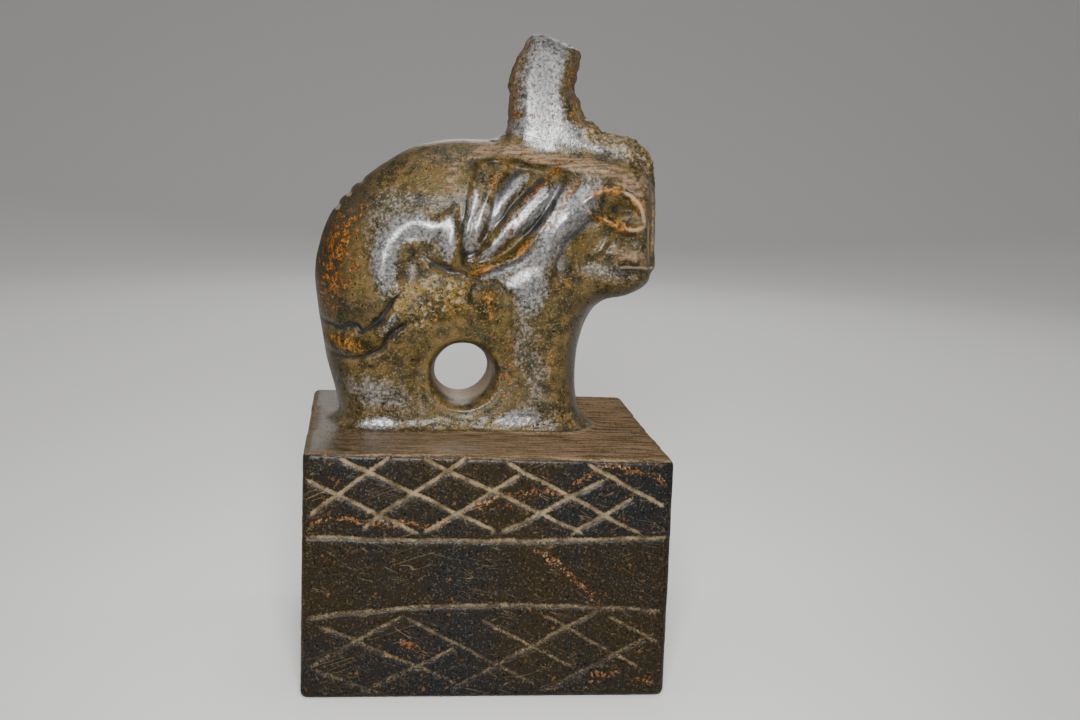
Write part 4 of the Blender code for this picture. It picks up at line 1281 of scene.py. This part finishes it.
def stone_material():
    """Dark polished stone under an olive, brown and rusty patina, the cut lines dull and pale, with painted
    grey sheen, painted shade and painted highlights.
    """
    material = bpy.data.materials.new("polished dark stone")
    material.use_nodes = True
    shader = material.node_tree.nodes["Principled BSDF"]
    recipe = Recipe(material)
    values = stone_values(recipe)

    colours = {}
    for name, (first, *tones) in COLOURS.items():
        colour = colours.get(first, first)
        for tone, mask, strength in tones:
            share = recipe.calc("MULTIPLY", values[mask], strength)
            colour = recipe.mix(share, colour, colours.get(tone, tone))
        colours[name] = colour
    recipe.put(shader.inputs["Base Color"], colours["whole"])

    weighted = [recipe.total(*((values[name], weight) for name, weight in parts.items()))
                for parts in (ROUGHNESS, GLOSS, RELIEF)]
    recipe.put(shader.inputs["Roughness"], recipe.calc("ADD", weighted[0], POLISH))
    gloss = recipe.calc("MAXIMUM", recipe.calc("ADD", weighted[1], PLAIN_GLOSS), 0.0)
    recipe.put(shader.inputs["Specular IOR Level"], gloss)
    bump = recipe.nodes.new("ShaderNodeBump")
    bump.inputs["Distance"].default_value = BUMP_DEPTH
    recipe.put(bump.inputs["Height"], weighted[2])
    recipe.put(shader.inputs["Normal"], bump.outputs["Normal"])
    return material


stone = carved_stone()
paint(stone.data)
stone.data.materials.append(stone_material())
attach(stone, "root")
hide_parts("elephant_on_block")


def make_camera():
    """The photograph's view, worked out from the block's corners."""
    yaw, pitch, roll = (math.radians(angle) for angle in CAMERA_ANGLES)
    forward = Vector((math.sin(yaw) * math.cos(pitch), math.cos(yaw) * math.cos(pitch), -math.sin(pitch)))
    level = Vector((math.cos(yaw), -math.sin(yaw), 0.0))
    upright = level.cross(forward)
    right = math.cos(roll) * level + math.sin(roll) * upright
    up = math.cos(roll) * upright - math.sin(roll) * level
    camera = add_object("camera", bpy.data.cameras.new("camera"))
    camera.matrix_world = Matrix((right, up, -forward)).transposed().to_4x4()
    camera.location = CAMERA_PLACE
    camera.data.sensor_width = CAMERA_SENSOR
    camera.data.lens = CAMERA_LENS
    camera.data.clip_start = CAMERA_NEAR
    bpy.context.scene.camera = camera


def make_floor():
    """A plain pale floor that curves up into a wall far behind, alike on every side."""
    profile = [(0.0, 0.0), (FLOOR_RADIUS * 0.5, 0.0), (FLOOR_RADIUS, 0.0)]
    for step in range(1, FLOOR_CURVE_STEPS + 1):
        turn = step / FLOOR_CURVE_STEPS * math.pi / 2.0
        profile.append((FLOOR_RADIUS + FLOOR_CURVE * math.sin(turn), FLOOR_CURVE * (1.0 - math.cos(turn))))
    mesh = bpy.data.meshes.new("floor")
    work = bmesh.new()
    corners = [work.verts.new((radius, 0.0, height - FLOOR_GAP)) for radius, height in profile]
    edges = [work.edges.new(pair) for pair in zip(corners, corners[1:])]
    bmesh.ops.spin(work, geom=corners + edges, axis=(0.0, 0.0, 1.0), cent=(0.0, 0.0, 0.0),
                   steps=FLOOR_STEPS, angle=2.0 * math.pi)
    bmesh.ops.remove_doubles(work, verts=work.verts, dist=FLOOR_GAP)
    bmesh.ops.recalc_face_normals(work, faces=work.faces)
    work.to_mesh(mesh)
    work.free()
    floor = add_object("floor", mesh)
    mesh.shade_smooth()
    material = bpy.data.materials.new("pale floor")
    material.use_nodes = True
    shader = material.node_tree.nodes["Principled BSDF"]
    shader.inputs["Base Color"].default_value = FLOOR_COLOUR
    shader.inputs["Roughness"].default_value = FLOOR_ROUGHNESS
    mesh.materials.append(material)


def make_lights():
    """Soft studio light: a key close above the camera, weaker fills around, and a pale surround."""
    for name, (energy, size, spread, place) in LIGHTS.items():
        light = bpy.data.lights.new(name, "AREA")
        light.energy = energy
        light.size = size
        light.spread = math.radians(spread)
        lamp = add_object(name, light)
        lamp.location = place
        lamp.rotation_euler = (Vector(LIGHT_TARGET) - lamp.location).to_track_quat("-Z", "Y").to_euler()
    world = bpy.data.worlds.new("studio")
    world.use_nodes = True
    surround = world.node_tree.nodes["Background"]
    surround.inputs["Color"].default_value = SURROUND_COLOUR
    surround.inputs["Strength"].default_value = SURROUND
    bpy.context.scene.world = world


make_camera()
make_floor()
make_lights()
